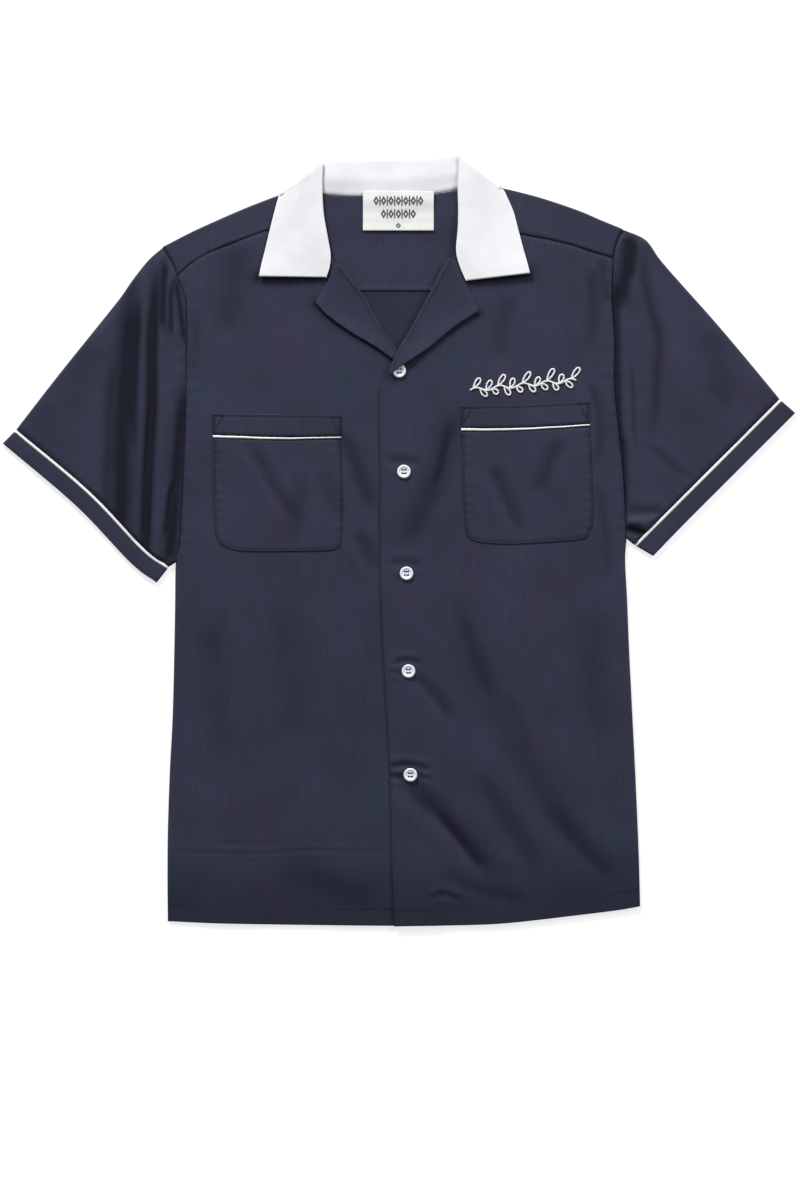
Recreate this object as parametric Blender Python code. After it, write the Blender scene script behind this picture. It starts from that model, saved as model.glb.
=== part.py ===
"""Short-sleeved bowling shirt with a camp collar, laid flat on its back, buttoned below the open lapels.

All tables are in millimetres in the shirt's own frame: X across (the wearer's right side is at -X),
Y from the hem up to the collar, Z up from the surface that the shirt lies on. Every piece of cloth
is a wall of even thickness round a grid of points on its middle surface.
"""

import math

import bpy
import numpy as np

MM = 0.001

# Driving sizes
cloth = 1.2                # wall of one layer of shirting with its turnings
collar_cloth = 1.4         # two layers and a stiffener
band_cloth = 1.6           # pocket bands, turned double
cuff_wall = 1.4
piping_wall = 1.8          # a cord in a folded strip
label_wall = 1.0
seam_gap = 0.3             # daylight between two pieces at a seam
lift = 1.6                 # from one layer's middle to that of a layer lying on it
back_z = cloth / 2         # middle of the back, flat on the surface
front_z = 3.2              # middle of the fronts
neck_rise = 1.8            # the back yoke climbs over the collar's fall by this much
front_rise = 1.5           # and the fronts by this much
under_lap = 22.0           # X of the hidden edge of the under front
lap_rise = 1.75            # the top front climbs over the under front
roll_room = 3.4            # a front stops this far short of its lapel's rolled edge
button_radius = 6.75
button_height = 1.9
button_hole_radius = 0.9
button_hole_offset = 1.7
piping_width = 3.2

# Largest folds: start, end, half width and height (a trough is negative)
FOLD_COLUMNS = ("x0", "y0", "x1", "y1", "half_width", "height")
FOLDS = {
    "right_front": [
        (-150, 290, -172, 190, 26, -0.5),
        (-210, -300, -20, -312, 30, 0.35),
    ],
    "left_front": [
        (60, -60, 190, -330, 28, -0.7),
        (95, -50, 215, -290, 26, 0.5),
        (52, 110, 12, -15, 22, -0.5),
    ],
    "right_sleeve": [
        (-262, 245, -280, 50, 24, -0.9),
        (-241, 280, -250, 20, 16, -1.0),
        (-300, 190, -330, 110, 30, 0.7),
    ],
    "left_sleeve": [
        (226, 298, 219, 120, 15, -0.9),
        (243, 290, 258, 110, 24, -0.8),
        (290, 230, 330, 130, 30, 0.7),
    ],
}

# Outlines: points through which a smooth edge runs
SIDE = {
    "right": {
        "yoke_seam": [(-221, 264), (-209, 275), (-194, 285), (-169, 295), (-134, 308), (-100, 312)],
        "armhole": [(-236, 293), (-227, 278), (-221, 264), (-214, 244), (-212, 230), (-212, 180), (-213, 120),
                    (-216, 50), (-219, -5), (-223, -22)],
        "side": [(-223, -22), (-224, -80), (-226, -170), (-229, -230), (-231, -290), (-231.4, -340),
                 (-231, -381)],
        "sleeve_top": [(-236, 293), (-250, 280), (-266, 260), (-280, 240), (-312, 200), (-344, 160),
                       (-383.7, 109)],
        "sleeve_end": [(-383.7, 109), (-309.7, 46.6), (-256.1, -9.5), (-230.6, -27.9)],
        "cuff_end": [(-396, 96.5), (-322, 33.5), (-268, -23), (-242.1, -42.7)],
    },
    "left": {
        "yoke_seam": [(213.5, 281.5), (192, 288), (171, 295), (141, 301.5), (111, 307), (88, 312)],
        "armhole": [(223, 311), (217, 297), (213.5, 281.5), (212.5, 240), (215, 200), (214.5, 170),
                    (215.5, 145), (219, 110), (224, 60), (226.5, 9), (227.3, 2)],
        "side": [(227.3, 2), (226, -20), (228, -60), (230, -110), (233, -170), (236, -230), (239.5, -310),
                 (241, -366)],
        "sleeve_top": [(223, 311), (246, 300), (261, 280), (281, 257), (314, 220), (348, 180),
                       (381.6, 139.7)],
        "sleeve_end": [(381.6, 139.7), (345, 103), (308, 66), (272, 30), (236.2, -5.7)],
        "cuff_end": [(396, 127), (360, 91), (324, 55), (288, 19), (254, -16)],
    },
}
HEM = {
    "right": [(-231, -381), (-180, -383.2), (-101, -384.6), (-5, -385.6), (under_lap, -385.4)],
    "left": [(-5, -386), (76, -384.6), (117, -382), (178, -375), (218, -370), (241, -366)],
}
ROLL = {
    "right": [(-59, 275), (-49.5, 263), (-37, 246), (-24, 223), (-13, 205), (-4.5, 194)],
    "left": [(49, 281), (39.5, 264), (32, 249), (21, 228), (8.3, 205), (-0.3, 191), (-5.7, 180.3),
             (-9.5, 171)],
}
UNDER_NECK = {
    "right": [(-59, 275), (-70, 292), (-84, 303), (-100, 310)],
    "left": [(49, 281), (62, 297), (74, 306), (88, 310)],
}
UNDER_EDGE = [(under_lap, -385.4), (under_lap, -200), (under_lap, 0), (under_lap, 148), (13, 174),
              (-4.5, 194)]
FREE_EDGE = [(-5, -386), (-7.4, -320), (-9.3, -233.8), (-12.2, -176.5), (-16.6, -100), (-18.8, -35),
             (-19.4, 100), (-19.7, 146), (-15.7, 158), (-9.5, 171)]
LAPEL = {
    "right": {
        "outer": [(-84, 236), (-72, 223), (-47.3, 206), (-29, 195.7), (-15.7, 187), (-10, 183)],
        "notch": [(-59, 275), (-66.5, 272), (-70.5, 259.5), (-84, 236)],
        "tip": [(-4.5, 194), (-10, 183)],
    },
    "left": {
        "outer": [(80, 226.5), (60, 214.5), (46, 204), (31, 191.7), (7.7, 176.3), (-4.5, 167)],
        "notch": [(49, 281), (56, 278), (66, 256.5), (80, 226.5)],
        "tip": [(-9.5, 171), (-4.5, 167)],
    },
}

# Yoke, from armhole to armhole: where each column leaves the back seam, where it folds over the shoulder and
# where it ends. It ends at the front yoke seam, or over the shoulder at the neck edge, or at the back neck.
YOKE_COLUMNS = ("seam_x", "fold_x", "fold_y", "end_x", "end_y", "ends")
YOKE = [
    (-212.6, -236, 293, -221.5, 264, "front"),
    (-196, -209, 307, -207, 0, "front"),
    (-178, -184, 318.5, -184, 0, "front"),
    (-152, -154, 331.5, -154, 0, "front"),
    (-127, -129, 341, -129, 0, "front"),
    (-106, -108, 348.5, -101, 0, "front"),
    (-99, -101, 351, -102, 330, "neck"),
    (-93, -97, 353, -98, 345, "neck"),
    (-84, 0, 0, -87, 350, "back"),
    (-72, 0, 0, -74, 345.5, "back"),
    (-54, 0, 0, -55, 343.5, "back"),
    (-27, 0, 0, -27, 343.5, "back"),
    (0, 0, 0, 0, 344.2, "back"),
    (27, 0, 0, 27, 345, "back"),
    (50, 0, 0, 50, 348, "back"),
    (66, 0, 0, 66, 351.5, "back"),
    (78, 0, 0, 80, 354.5, "back"),
    (86, 90, 356, 91, 347, "neck"),
    (92, 95, 354.5, 92, 328, "neck"),
    (99, 103, 351.5, 91, 0, "front"),
    (115, 118, 348, 113, 0, "front"),
    (143, 146, 340.5, 143, 0, "front"),
    (172, 180, 329, 173, 0, "front"),
    (192, 201, 320, 194, 0, "front"),
    (212.6, 223, 311, 213, 281.5, "front"),
]
back_seam_y = 250.0        # where the yoke meets the back

# Collar: the roll edge and the free edge, from the wearer's right point round the back to the left point.
# turn goes from +1 on top of the fronts through 0 at the shoulder folds to -1 under the back.
COLLAR_COLUMNS = ("roll_x", "roll_y", "edge_x", "edge_y", "turn", "roll", "edge_up")
COLLAR = [
    (-72.5, 262, -139.8, 262.6, 1, 0.3, 1.6),
    (-69.2, 272, -137, 276, 1, 0.3, 1.2),
    (-68.2, 285, -133, 292, 1, 0.3, 0.8),
    (-71.5, 305, -129, 309, 1, 1.5, 0.4),
    (-75, 326, -125, 325, 1, 1.5, 0.1),
    (-76.3, 348, -121.5, 338, 1, 1.4, 0.0),
    (-76.3, 364, -119.7, 344, 1, 0.9, 0.0),
    (-75.7, 376, -118.5, 344.5, 1, 0.3, 0.0),
    (-75.7, 376, -118.5, 344.5, 0.5, 0.3, 0.0),
    (-75.7, 376, -118.5, 344.5, 0, 0.3, 0.0),
    (-75.7, 376, -118.5, 344.5, -0.5, 0.3, 0.0),
    (-75.7, 376, -118.5, 344.5, -1, 0.3, 0.0),
    (-70, 380.5, -108, 341, -1, 0.9, 0.0),
    (-60, 381.3, -84, 337, -1, 1.4, 0.0),
    (-45, 381.4, -58, 334.5, -1, 1.5, 0.0),
    (-22, 381.5, -28, 333, -1, 1.5, 0.0),
    (0, 382, 0, 333, -1, 1.5, 0.0),
    (22, 382.6, 26, 334, -1, 1.5, 0.0),
    (38, 383.8, 50, 336.5, -1, 1.4, 0.0),
    (49, 385.2, 72, 340.5, -1, 1.3, 0.0),
    (55, 385.9, 92, 346, -1, 0.9, 0.0),
    (60, 382.3, 101, 351, -1, 0.3, 0.0),
    (60, 382.3, 101, 351, -0.5, 0.3, 0.0),
    (60, 382.3, 101, 351, 0, 0.3, 0.0),
    (60, 382.3, 101, 351, 0.5, 0.3, 0.0),
    (60, 382.3, 101, 351, 1, 0.3, 0.0),
    (59.5, 367, 104.5, 349, 1, 0.9, 0.0),
    (58.5, 350, 108.5, 341, 1, 1.4, 0.0),
    (59, 330, 114.5, 327, 1, 1.5, 0.1),
    (58.5, 310, 119.5, 308, 1, 1.5, 0.4),
    (57, 288, 124.5, 289, 1, 0.3, 0.8),
    (61, 272, 128, 277, 1, 0.3, 1.2),
    (66.8, 258.5, 130.7, 266, 1, 0.3, 1.6),
]
collar_top_z = 7.1         # middle of the leaves where they lie on the fronts
lapel_roll = 1.0           # radius of the lapels' folded edge
STAND = {
    "roll": [(-73, 378.5), (-56, 379.2), (0, 379.8), (31, 380.6), (52, 383)],
    "neck": [(-73.5, 346.5), (-55, 344.5), (-36, 344), (0, 345.2), (34, 346.8), (54.5, 350.5)],
}
LABEL = {"left": -36.0, "right": 34.8, "top": 348.3, "bottom": 309.0}

POCKET = {
    "right": {
        "bottom": [(-178, -5), (-160, -11), (-115, -11.6), (-70, -10.6), (-60.5, -7.5)],
        "outside": [(-178, -5), (-184, 10), (-185.6, 50), (-185.6, 101.6)],
        "inside": [(-60.5, -7.5), (-57, 2), (-56.4, 50), (-58, 100.6)],
        "mouth": [(-185.6, 101.6), (-122, 99.6), (-58, 100.6)],
        "seam": [(-186, 105.4), (-122, 103.4), (-57.8, 104.3)],
        "top": [(-186.5, 126.6), (-120, 125.6), (-57, 124.4)],
    },
    "left": {
        "bottom": [(70.5, 1), (83, -3), (117.5, -4.3), (168.6, -1), (187, 1.5)],
        "outside": [(187, 1.5), (193.4, 18), (193.6, 45), (192, 91), (190.6, 112.8)],
        "inside": [(70.5, 1), (66.2, 12), (62.9, 65), (62.2, 108)],
        "mouth": [(62.2, 108), (120, 108.6), (190.6, 112.8)],
        "seam": [(62.1, 112), (120, 112.6), (190.6, 116.6)],
        "top": [(62, 134.1), (120, 135.2), (190.2, 138.5)],
    },
}
BUTTONS = [(0.2, 168.6), (4.9, 68.1), (7.5, -33.4), (9.5, -131), (11.4, -234.5)]

PAINT = {
    "navy_twill": ((0.032, 0.036, 0.058), 0.62),
    "navy_lining_side": ((0.036, 0.038, 0.060), 0.66),
    "white_poplin": ((0.84, 0.84, 0.85), 0.7),
    "white_piping": ((0.82, 0.82, 0.80), 0.6),
    "white_label": ((0.84, 0.84, 0.82), 0.55),
    "white_button": ((0.80, 0.82, 0.86), 0.25),
}


def clear_scene():
    for thing in list(bpy.data.objects):
        bpy.data.objects.remove(thing, do_unlink=True)


def paint(slot):
    """The slot's own Principled material."""
    colour, roughness = PAINT[slot]
    material = bpy.data.materials.get(slot) or bpy.data.materials.new(slot)
    material.use_nodes = True
    shader = material.node_tree.nodes["Principled BSDF"]
    shader.inputs["Base Color"].default_value = (*colour, 1.0)
    shader.inputs["Roughness"].default_value = roughness
    shader.inputs["Metallic"].default_value = 0.0
    return material


def smooth_line(points, per_span=8):
    """Catmull-Rom line through the points."""
    p = np.asarray(points, float)
    if len(p) < 3:
        return p
    ends = np.vstack([2 * p[0] - p[1], p, 2 * p[-1] - p[-2]])
    t = np.linspace(0, 1, per_span, endpoint=False)[:, None]
    spans = []
    for a, b, c, d in zip(ends, ends[1:], ends[2:], ends[3:]):
        spans.append(b + 0.5 * t * (c - a + t * (2 * a - 5 * b + 4 * c - d + t * (3 * (b - c) + d - a))))
    return np.vstack(spans + [p[-1:]])


def along(line, fractions):
    """Points of a line at these fractions of its length."""
    line = np.asarray(line, float)
    run = np.concatenate([[0], np.cumsum(np.linalg.norm(np.diff(line, axis=0), axis=1))])
    at = np.asarray(fractions) * run[-1]
    return np.stack([np.interp(at, run, line[:, k]) for k in range(line.shape[1])], axis=1)


def coons(low, high, start, end, us, vs):
    """Grid spanned by four edges: low and high run along u, start and end join them along v."""
    u, v = np.asarray(us)[:, None, None], np.asarray(vs)[None, :, None]
    low, high, start, end = (smooth_line(edge) for edge in (low, high, start, end))
    across = (1 - v) * along(low, us)[:, None] + v * along(high, us)[:, None]
    up = (1 - u) * along(start, vs)[None] + u * along(end, vs)[None]
    corners = (1 - u) * ((1 - v) * low[0] + v * high[0]) + u * ((1 - v) * low[-1] + v * high[-1])
    return across + up - corners


def ramp(value, start, end):
    """0 up to start, 1 from end on, smooth between."""
    t = np.clip((value - start) / (end - start), 0, 1)
    return t * t * (3 - 2 * t)


def folds(x, y, name):
    """Height of a piece's largest folds: a bell across each line, fading out towards both ends."""
    total = np.zeros_like(x)
    for row in FOLDS[name]:
        fold = dict(zip(FOLD_COLUMNS, row))
        dx, dy = fold["x1"] - fold["x0"], fold["y1"] - fold["y0"]
        length = math.hypot(dx, dy)
        run = ((x - fold["x0"]) * dx + (y - fold["y0"]) * dy) / length**2
        off = ((x - fold["x0"]) * dy - (y - fold["y0"]) * dx) / length
        bell = 0.5 + 0.5 * np.cos(np.pi * np.clip(off / fold["half_width"], -1, 1))
        total += fold["height"] * bell * ramp(run, -0.1, 0.25) * (1 - ramp(run, 0.75, 1.1))
    return total


def back_height(x, y):
    """Middle of the back and the back yoke: flat, then up over the collar's fall at the neck."""
    near = (1 - ramp(np.abs(x + 8), 118, 150)) * ramp(y, 292, 325)
    return back_z + neck_rise * near


def shoulder_height(x, y):
    """Middle of the yoke's front and of a front without its folds: level, up at the neck."""
    return front_z + front_rise * (1 - ramp(np.abs(x + 4), 120, 190)) * ramp(y, 215, 300)


def front_height(x, y, side):
    """Middle of a front with its folds; the top front climbs over the under front."""
    height = shoulder_height(x, y) + folds(x, y, side + "_front")
    if side == "left":
        climb = (1 - ramp(x, under_lap + 5, under_lap + 32)) * (1 - 0.6 * ramp(y, 215, 300))
        height = height + lap_rise * climb
    return height


def unit(vectors):
    return vectors / np.maximum(np.linalg.norm(vectors, axis=-1, keepdims=True), 1e-9)


def grid_normals(mid, ring):
    """Unit normals of a grid of points; a ring's columns join up."""
    du = np.gradient(mid, axis=0)
    if ring:
        dv = (np.roll(mid, -1, axis=1) - np.roll(mid, 1, axis=1)) / 2
    else:
        dv = np.gradient(mid, axis=1)
    return unit(np.cross(du, dv))


def add_mesh(name, points, faces, slot):
    """Object from points in millimetres, turned so that its faces point out."""
    points = np.asarray(points, float)
    a, b, c, d = (points[faces[:, k]] for k in range(4))
    volume = (np.cross(a, b) * c).sum() + (np.cross(a, c) * d).sum()
    if volume < 0:
        faces = faces[:, ::-1]
    mesh = bpy.data.meshes.new(name)
    mesh.from_pydata((points * MM).tolist(), [], faces.tolist())
    mesh.validate()
    mesh.materials.append(paint(slot))
    mesh.shade_smooth()
    mesh.set_sharp_from_angle(angle=math.radians(50))
    thing = bpy.data.objects.new(name, mesh)
    bpy.context.scene.collection.objects.link(thing)
    return thing


def wall(name, mid, thickness, slot, ring=False):
    """Closed wall of this thickness round a grid of middle points, with rims along its open edges."""
    normals = grid_normals(mid, ring)
    rows, cols = mid.shape[:2]
    upper, lower = mid + normals * thickness / 2, mid - normals * thickness / 2
    index = np.arange(rows * cols).reshape(rows, cols)
    wide = np.concatenate([index, index[:, :1]], axis=1) if ring else index
    side = np.stack([wide[:-1, :-1], wide[1:, :-1], wide[1:, 1:], wide[:-1, 1:]], axis=-1).reshape(-1, 4)
    under = side[:, ::-1] + rows * cols
    edges = [wide[0, ::-1], wide[-1, :]]
    if not ring:
        edges += [wide[:, 0], wide[::-1, -1]]
    rims = [np.stack([e[1:], e[:-1], e[:-1] + rows * cols, e[1:] + rows * cols], axis=-1) for e in edges]
    faces = np.concatenate([side, under] + rims)
    return add_mesh(name, np.concatenate([upper.reshape(-1, 3), lower.reshape(-1, 3)]), faces, slot)


def even(count):
    return np.linspace(0, 1, count)


def with_height(plan, height):
    return np.dstack([plan, height])


def moved(line, dx, dy=0.0):
    return [(x + dx, y + dy) for x, y in line]


def front_plan(side):
    """Middle grid of a front, from the side seam (u 0) to the centre, and from the hem (v 0) to the yoke."""
    away = 1 if side == "left" else -1
    rows = np.concatenate([[0, 0.011], np.linspace(0.06, 1, 12)])
    cut = SIDE[side]
    armhole = [p for p in cut["armhole"] if p[1] <= cut["yoke_seam"][0][1]][::-1]
    outer = cut["side"][::-1] + armhole[1:]
    roll = moved(ROLL[side], roll_room * away)[::-1]
    neck = moved(UNDER_NECK[side], roll_room * away)[1:]
    centre = (UNDER_EDGE[:-1] if side == "right" else FREE_EDGE[:-1]) + roll + neck
    hem = HEM[side] if side == "right" else HEM[side][::-1]
    ends = sorted((row[3] for row in YOKE if row[5] == "front" and row[3] * away > 0), key=abs, reverse=True)
    knots = [outer[-1]] + [(x, seam_y(side, x) - seam_gap / 2) for x in ends[1:-1]] + [centre[-1]]
    yoke_seam = along(knots, even(90))
    return coons(hem, yoke_seam, outer, centre, rows, even(21))


def build_front(side):
    """Front, whose side seam turns down to meet the back's edge."""
    plan = front_plan(side)
    x, y = plan[..., 0], plan[..., 1]
    height = front_height(x, y, side)
    seam_z = cloth * 1.5 + seam_gap + 0.05
    body = 1 - ramp(y[0], -30, -5) if side == "right" else 1 - ramp(y[0], -10, 8)
    height[0] += (seam_z - height[0]) * body
    wall("front_" + side, with_height(plan, height), cloth, "navy_twill")


def build_back():
    """Back, flat on the surface, from the hem to the yoke seam."""
    sides = {}
    for side in ("right", "left"):
        cut = SIDE[side]
        armhole = [p for p in cut["armhole"] if p[1] <= 249][::-1]
        sides[side] = cut["side"][::-1] + armhole[1:]
        top_x = armhole[-1][0]
        sides[side] = sides[side] + [(top_x, 249.7)]
    hem = [(-231, -381), (-101, -383.5), (-5, -384), (117, -381), (241, -366)]
    top = [sides["right"][-1], (0, 249.7), sides["left"][-1]]
    plan = coons(hem, top, sides["right"], sides["left"], even(9), even(18))
    wall("back", with_height(plan, np.full(plan.shape[:2], back_z)), cloth, "navy_lining_side")


def seam_y(side, x):
    """Y of the front yoke seam at this X."""
    line = smooth_line(SIDE[side]["yoke_seam"])
    order = np.argsort(line[:, 0])
    return np.interp(x, line[order, 0], line[order, 1])


def yoke_column(row, back_steps, arc_steps, front_steps):
    """One column of the yoke: up the back, round the shoulder fold and down the front."""
    col = dict(zip(YOKE_COLUMNS, row))
    side = "right" if col["seam_x"] < 0 else "left"
    seam = np.array([col["seam_x"], back_seam_y + seam_gap])
    end = np.array([col["end_x"], col["end_y"]], float)
    if col["ends"] == "back":
        plan = seam + (end - seam) * even(back_steps + arc_steps + front_steps)[:, None]
        return np.column_stack([plan, back_height(plan[:, 0], plan[:, 1])])
    if col["ends"] == "front":
        end[1] = seam_y(side, end[0]) + seam_gap
    fold = np.array([col["fold_x"], col["fold_y"]])
    low, high = float(back_height(*fold)), float(shoulder_height(*fold))
    radius, middle = (high - low) / 2, (high + low) / 2
    reach = unit(fold - seam)
    centre = fold - reach * (radius + cloth / 2)
    back = seam + (centre - seam) * np.linspace(0, 1, back_steps, endpoint=False)[:, None]
    turn = np.linspace(-90, 90, arc_steps) * math.pi / 180
    arc = centre + reach * radius * np.cos(turn)[:, None]
    start = centre + 0.12 * (end - centre)
    front = start + (end - start) * even(front_steps)[:, None]
    if abs(col["seam_x"]) > 212:
        line = smooth_line(SIDE[side]["armhole"])[::-1]
        back[:, 0] = np.interp(back[:, 1], line[:, 1], line[:, 0])
        front[:, 0] = np.interp(front[:, 1], line[:, 1], line[:, 0])
    heights = np.concatenate([
        back_height(back[:, 0], back[:, 1]), middle + radius * np.sin(turn),
        shoulder_height(front[:, 0], front[:, 1]),
    ])
    return np.column_stack([np.vstack([back, arc, front]), heights])


def build_yoke():
    """Yoke, one piece over both shoulders, cut out round the neck."""
    mid = np.stack([yoke_column(row, 6, 5, 4) for row in YOKE])
    wall("yoke", mid, cloth, "navy_lining_side")


def flat_tube(rows, low_z, top_height, steps=9):
    """Rings of a flattened tube between two plan lines that run from its upper fold to its under-arm fold."""
    arcs = np.linspace(90, -90, 5) * math.pi / 180
    rings = []
    for plan in rows:
        length = np.linalg.norm(np.diff(plan, axis=0), axis=1).sum()
        x, y = plan[:, 0], plan[:, 1]
        radius = (float(np.mean(top_height(x, y))) - low_z) / 2
        inset = (radius + cloth / 2) / length
        flat = np.linspace(inset, 1 - inset, steps)
        top = along(plan, flat)
        top_z = top_height(top[:, 0], top[:, 1])
        fade = np.minimum(ramp(flat, 0, 0.12), ramp(1 - flat, 0, 0.12))
        top_z = low_z + 2 * radius + (top_z - low_z - 2 * radius) * fade
        out = radius / length * np.cos(arcs)[1:-1]
        turn_z = low_z + radius + radius * np.sin(arcs)[1:-1]
        far, near = along(plan, 1 - inset + out), along(plan, inset - out)
        rings.append(np.vstack([
            np.column_stack([top, top_z]),
            np.column_stack([far, turn_z]),
            np.column_stack([top[::-1], np.full(steps, low_z)]),
            np.column_stack([near, turn_z[::-1]]),
        ]))
    return np.stack(rings)


def step_out(line, other, distance):
    """The line moved towards the other one by this distance, point by point."""
    line, other = np.asarray(line, float), np.asarray(other, float)
    return line + unit(other - line) * distance


def build_sleeve(side):
    """Sleeve, its piping and its cuff: three flattened tubes end to end."""
    cut = SIDE[side]
    out = 1 if side == "left" else -1
    name = side + "_sleeve"
    spread = even(20)
    sleeve_end = along(smooth_line(cut["sleeve_end"]), spread)
    cuff_end = along(smooth_line(cut["cuff_end"]), spread)
    body_end = step_out(sleeve_end, cuff_end, -piping_width / 2)
    armhole = moved(cut["armhole"], 2.5 * seam_gap * out)
    top = [armhole[0]] + cut["sleeve_top"][1:-1] + [tuple(body_end[0])]
    under = [armhole[-1], tuple(body_end[-1])]
    plan = coons(top, under, armhole, body_end, even(11), spread)

    def top_height(x, y):
        return front_z + folds(x, y, name)

    def level(x, y):
        return np.full_like(x, front_z)

    sleeve = flat_tube(plan, back_z, top_height)
    wall("sleeve_" + side, sleeve, cloth, "navy_twill", ring=True)
    piping = [step_out(sleeve_end, cuff_end, s * (piping_width / 2 - 1.3 * seam_gap)) for s in (-1, 1)]
    cord = flat_tube(piping, piping_wall / 2, level)
    wall("cuff_piping_" + side, cord, piping_wall, "white_piping", ring=True)
    first = step_out(sleeve_end, cuff_end, piping_width / 2)
    cuff = [first + (cuff_end - first) * t for t in even(3)]
    wall("cuff_" + side, flat_tube(cuff, cuff_wall / 2, level), cuff_wall, "navy_twill", ring=True)


def build_lapel(side):
    """Turned-back facing: a roll along the fold, then flat on the front out to its free edge."""
    cut = LAPEL[side]
    radius = lapel_roll
    across = np.array([0, 0.1, 0.35, 0.65, 1])
    plan = coons(ROLL[side], cut["outer"], cut["notch"], cut["tip"], even(9), across)
    x, y = plan[..., 0], plan[..., 1]
    rest = front_height(x, y, side) + lift + 0.25
    rest = rest + over_button(x, y) if side == "left" else rest
    outward = unit(plan[:, -1] - plan[:, 0])
    arc = np.linspace(-80, 90, 4)[:-1] * math.pi / 180
    roll = [np.column_stack([
        plan[:, 0] + outward * (radius - radius * math.cos(a) + cloth / 2),
        rest[:, 0] + radius * (math.sin(a) - 1),
    ]) for a in arc]
    shift = (radius + cloth / 2) * (1 - across)
    flat = plan + outward[:, None] * shift[None, :, None]
    mid = np.concatenate([np.stack(roll, axis=1), with_height(flat, rest)], axis=1)
    wall("lapel_" + side, mid, cloth, "navy_twill")


def over_button(x, y):
    """The left lapel's tip rests on the top button."""
    bx, by = BUTTONS[0]
    return button_height * 0.95 * (1 - ramp(np.hypot(x - bx, y - by), 2 * button_radius, 6 * button_radius))


def build_collar():
    """Collar: its leaves on the fronts, round both shoulders and under the back, rolled along the neck."""
    rows = []
    low, high = 0.7, collar_top_z
    radius = (high - low) / 2
    for row in COLLAR:
        col = dict(zip(COLLAR_COLUMNS, row))
        roll = np.array([col["roll_x"], col["roll_y"]])
        edge = np.array([col["edge_x"], col["edge_y"]])
        run = unit(edge - roll)
        outward = np.array([run[1], -run[0]])
        outward = outward * np.sign(outward @ (roll + edge) * 0.5 - outward @ np.array([0, 200]))
        turn = col["turn"] * math.pi / 2
        face = np.append(outward * math.cos(turn), math.sin(turn))
        base = (low + high) / 2 + radius * math.sin(turn)
        shift = outward * radius * math.cos(turn)
        arc = np.linspace(-90, 90, 4) * math.pi / 180
        r = col["roll"]
        start = np.append(roll + shift, base)
        reach = np.append(run, 0.0)
        points = [start + reach * r * (1 - math.cos(a)) + face * r * (math.sin(a) - 1) for a in arc]
        finish = np.append(edge + shift, base + col["edge_up"])
        for t in (0.25, 0.5, 0.75, 1.0):
            points.append(points[3] + (finish - points[3]) * t)
        rows.append(np.array(points))
    wall("collar", np.stack(rows), collar_cloth, "white_poplin")


def build_stand():
    """Inner back of the collar, from the neck seam up to the roll."""
    roll, neck = STAND["roll"], STAND["neck"]
    plan = coons(neck, roll, [neck[0], roll[0]], [neck[-1], roll[-1]], even(9), even(4))
    height = np.array([4.1, 4.2, 4.2, 4.0])[None, :].repeat(9, axis=0)
    wall("collar_stand", with_height(plan, height), cloth, "white_poplin")


def build_label():
    """Woven label sewn on at the neck seam."""
    xs, ys = np.linspace(LABEL["left"], LABEL["right"], 4), np.linspace(LABEL["bottom"], LABEL["top"], 6)
    x, y = np.meshgrid(xs, ys, indexing="ij")
    height = back_height(x, y) + cloth / 2 + label_wall + 1.5 * ramp(y, 325, 341)
    wall("label", np.dstack([x, y, height]), label_wall, "white_label")


def build_pocket(side):
    """Patch pocket, its piping and its band, all lying on the front."""
    cut = POCKET[side]
    sides = (cut["outside"], cut["inside"]) if side == "right" else (cut["inside"], cut["outside"])

    def raised(plan, above):
        x, y = plan[..., 0], plan[..., 1]
        return with_height(plan, front_height(x, y, side) + above)

    pocket = coons(cut["bottom"], cut["mouth"], sides[0], sides[1], even(8), even(7))
    wall("pocket_" + side, raised(pocket, lift), cloth, "navy_twill")
    seam, top = cut["seam"], cut["top"]
    band = coons(seam, top, [seam[0], top[0]], [seam[-1], top[-1]], even(8), even(3))
    wall("pocket_band_" + side, raised(band, lift + 0.2), band_cloth, "navy_twill")
    low, high = moved(cut["mouth"], 0, seam_gap), moved(seam, 0, -seam_gap)
    piping = coons(low, high, [low[0], high[0]], [low[-1], high[-1]], even(8), even(3))
    wall("pocket_piping_" + side, raised(piping, lift + 0.4), piping_wall, "white_piping")


def button_mesh():
    """Turned button with a raised rim and a dished middle, its foot at z 0, and four holes through it."""
    profile = [
        (0.0, 0.15), (0.55, 0.0), (0.95, 0.25), (1.0, 0.62), (0.93, 0.92), (0.84, 1.0), (0.74, 0.92),
        (0.64, 0.68), (0.0, 0.62),
    ]
    around = 24
    turn = np.arange(around) * 2 * math.pi / around
    points, faces = [(0, 0, profile[0][1] * button_height)], []
    for radius, height in profile[1:-1]:
        r, z = radius * button_radius, height * button_height
        points += [(r * math.cos(a), r * math.sin(a), z) for a in turn]
    points.append((0, 0, profile[-1][1] * button_height))
    rings = len(profile) - 2
    for k in range(around):
        after = (k + 1) % around
        faces.append((0, 1 + after, 1 + k))
        for ring in range(rings - 1):
            a, b = 1 + ring * around, 1 + (ring + 1) * around
            faces.append((a + k, a + after, b + after, b + k))
        last = 1 + (rings - 1) * around
        faces.append((last + k, last + after, len(points) - 1))
    return points, faces


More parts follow.
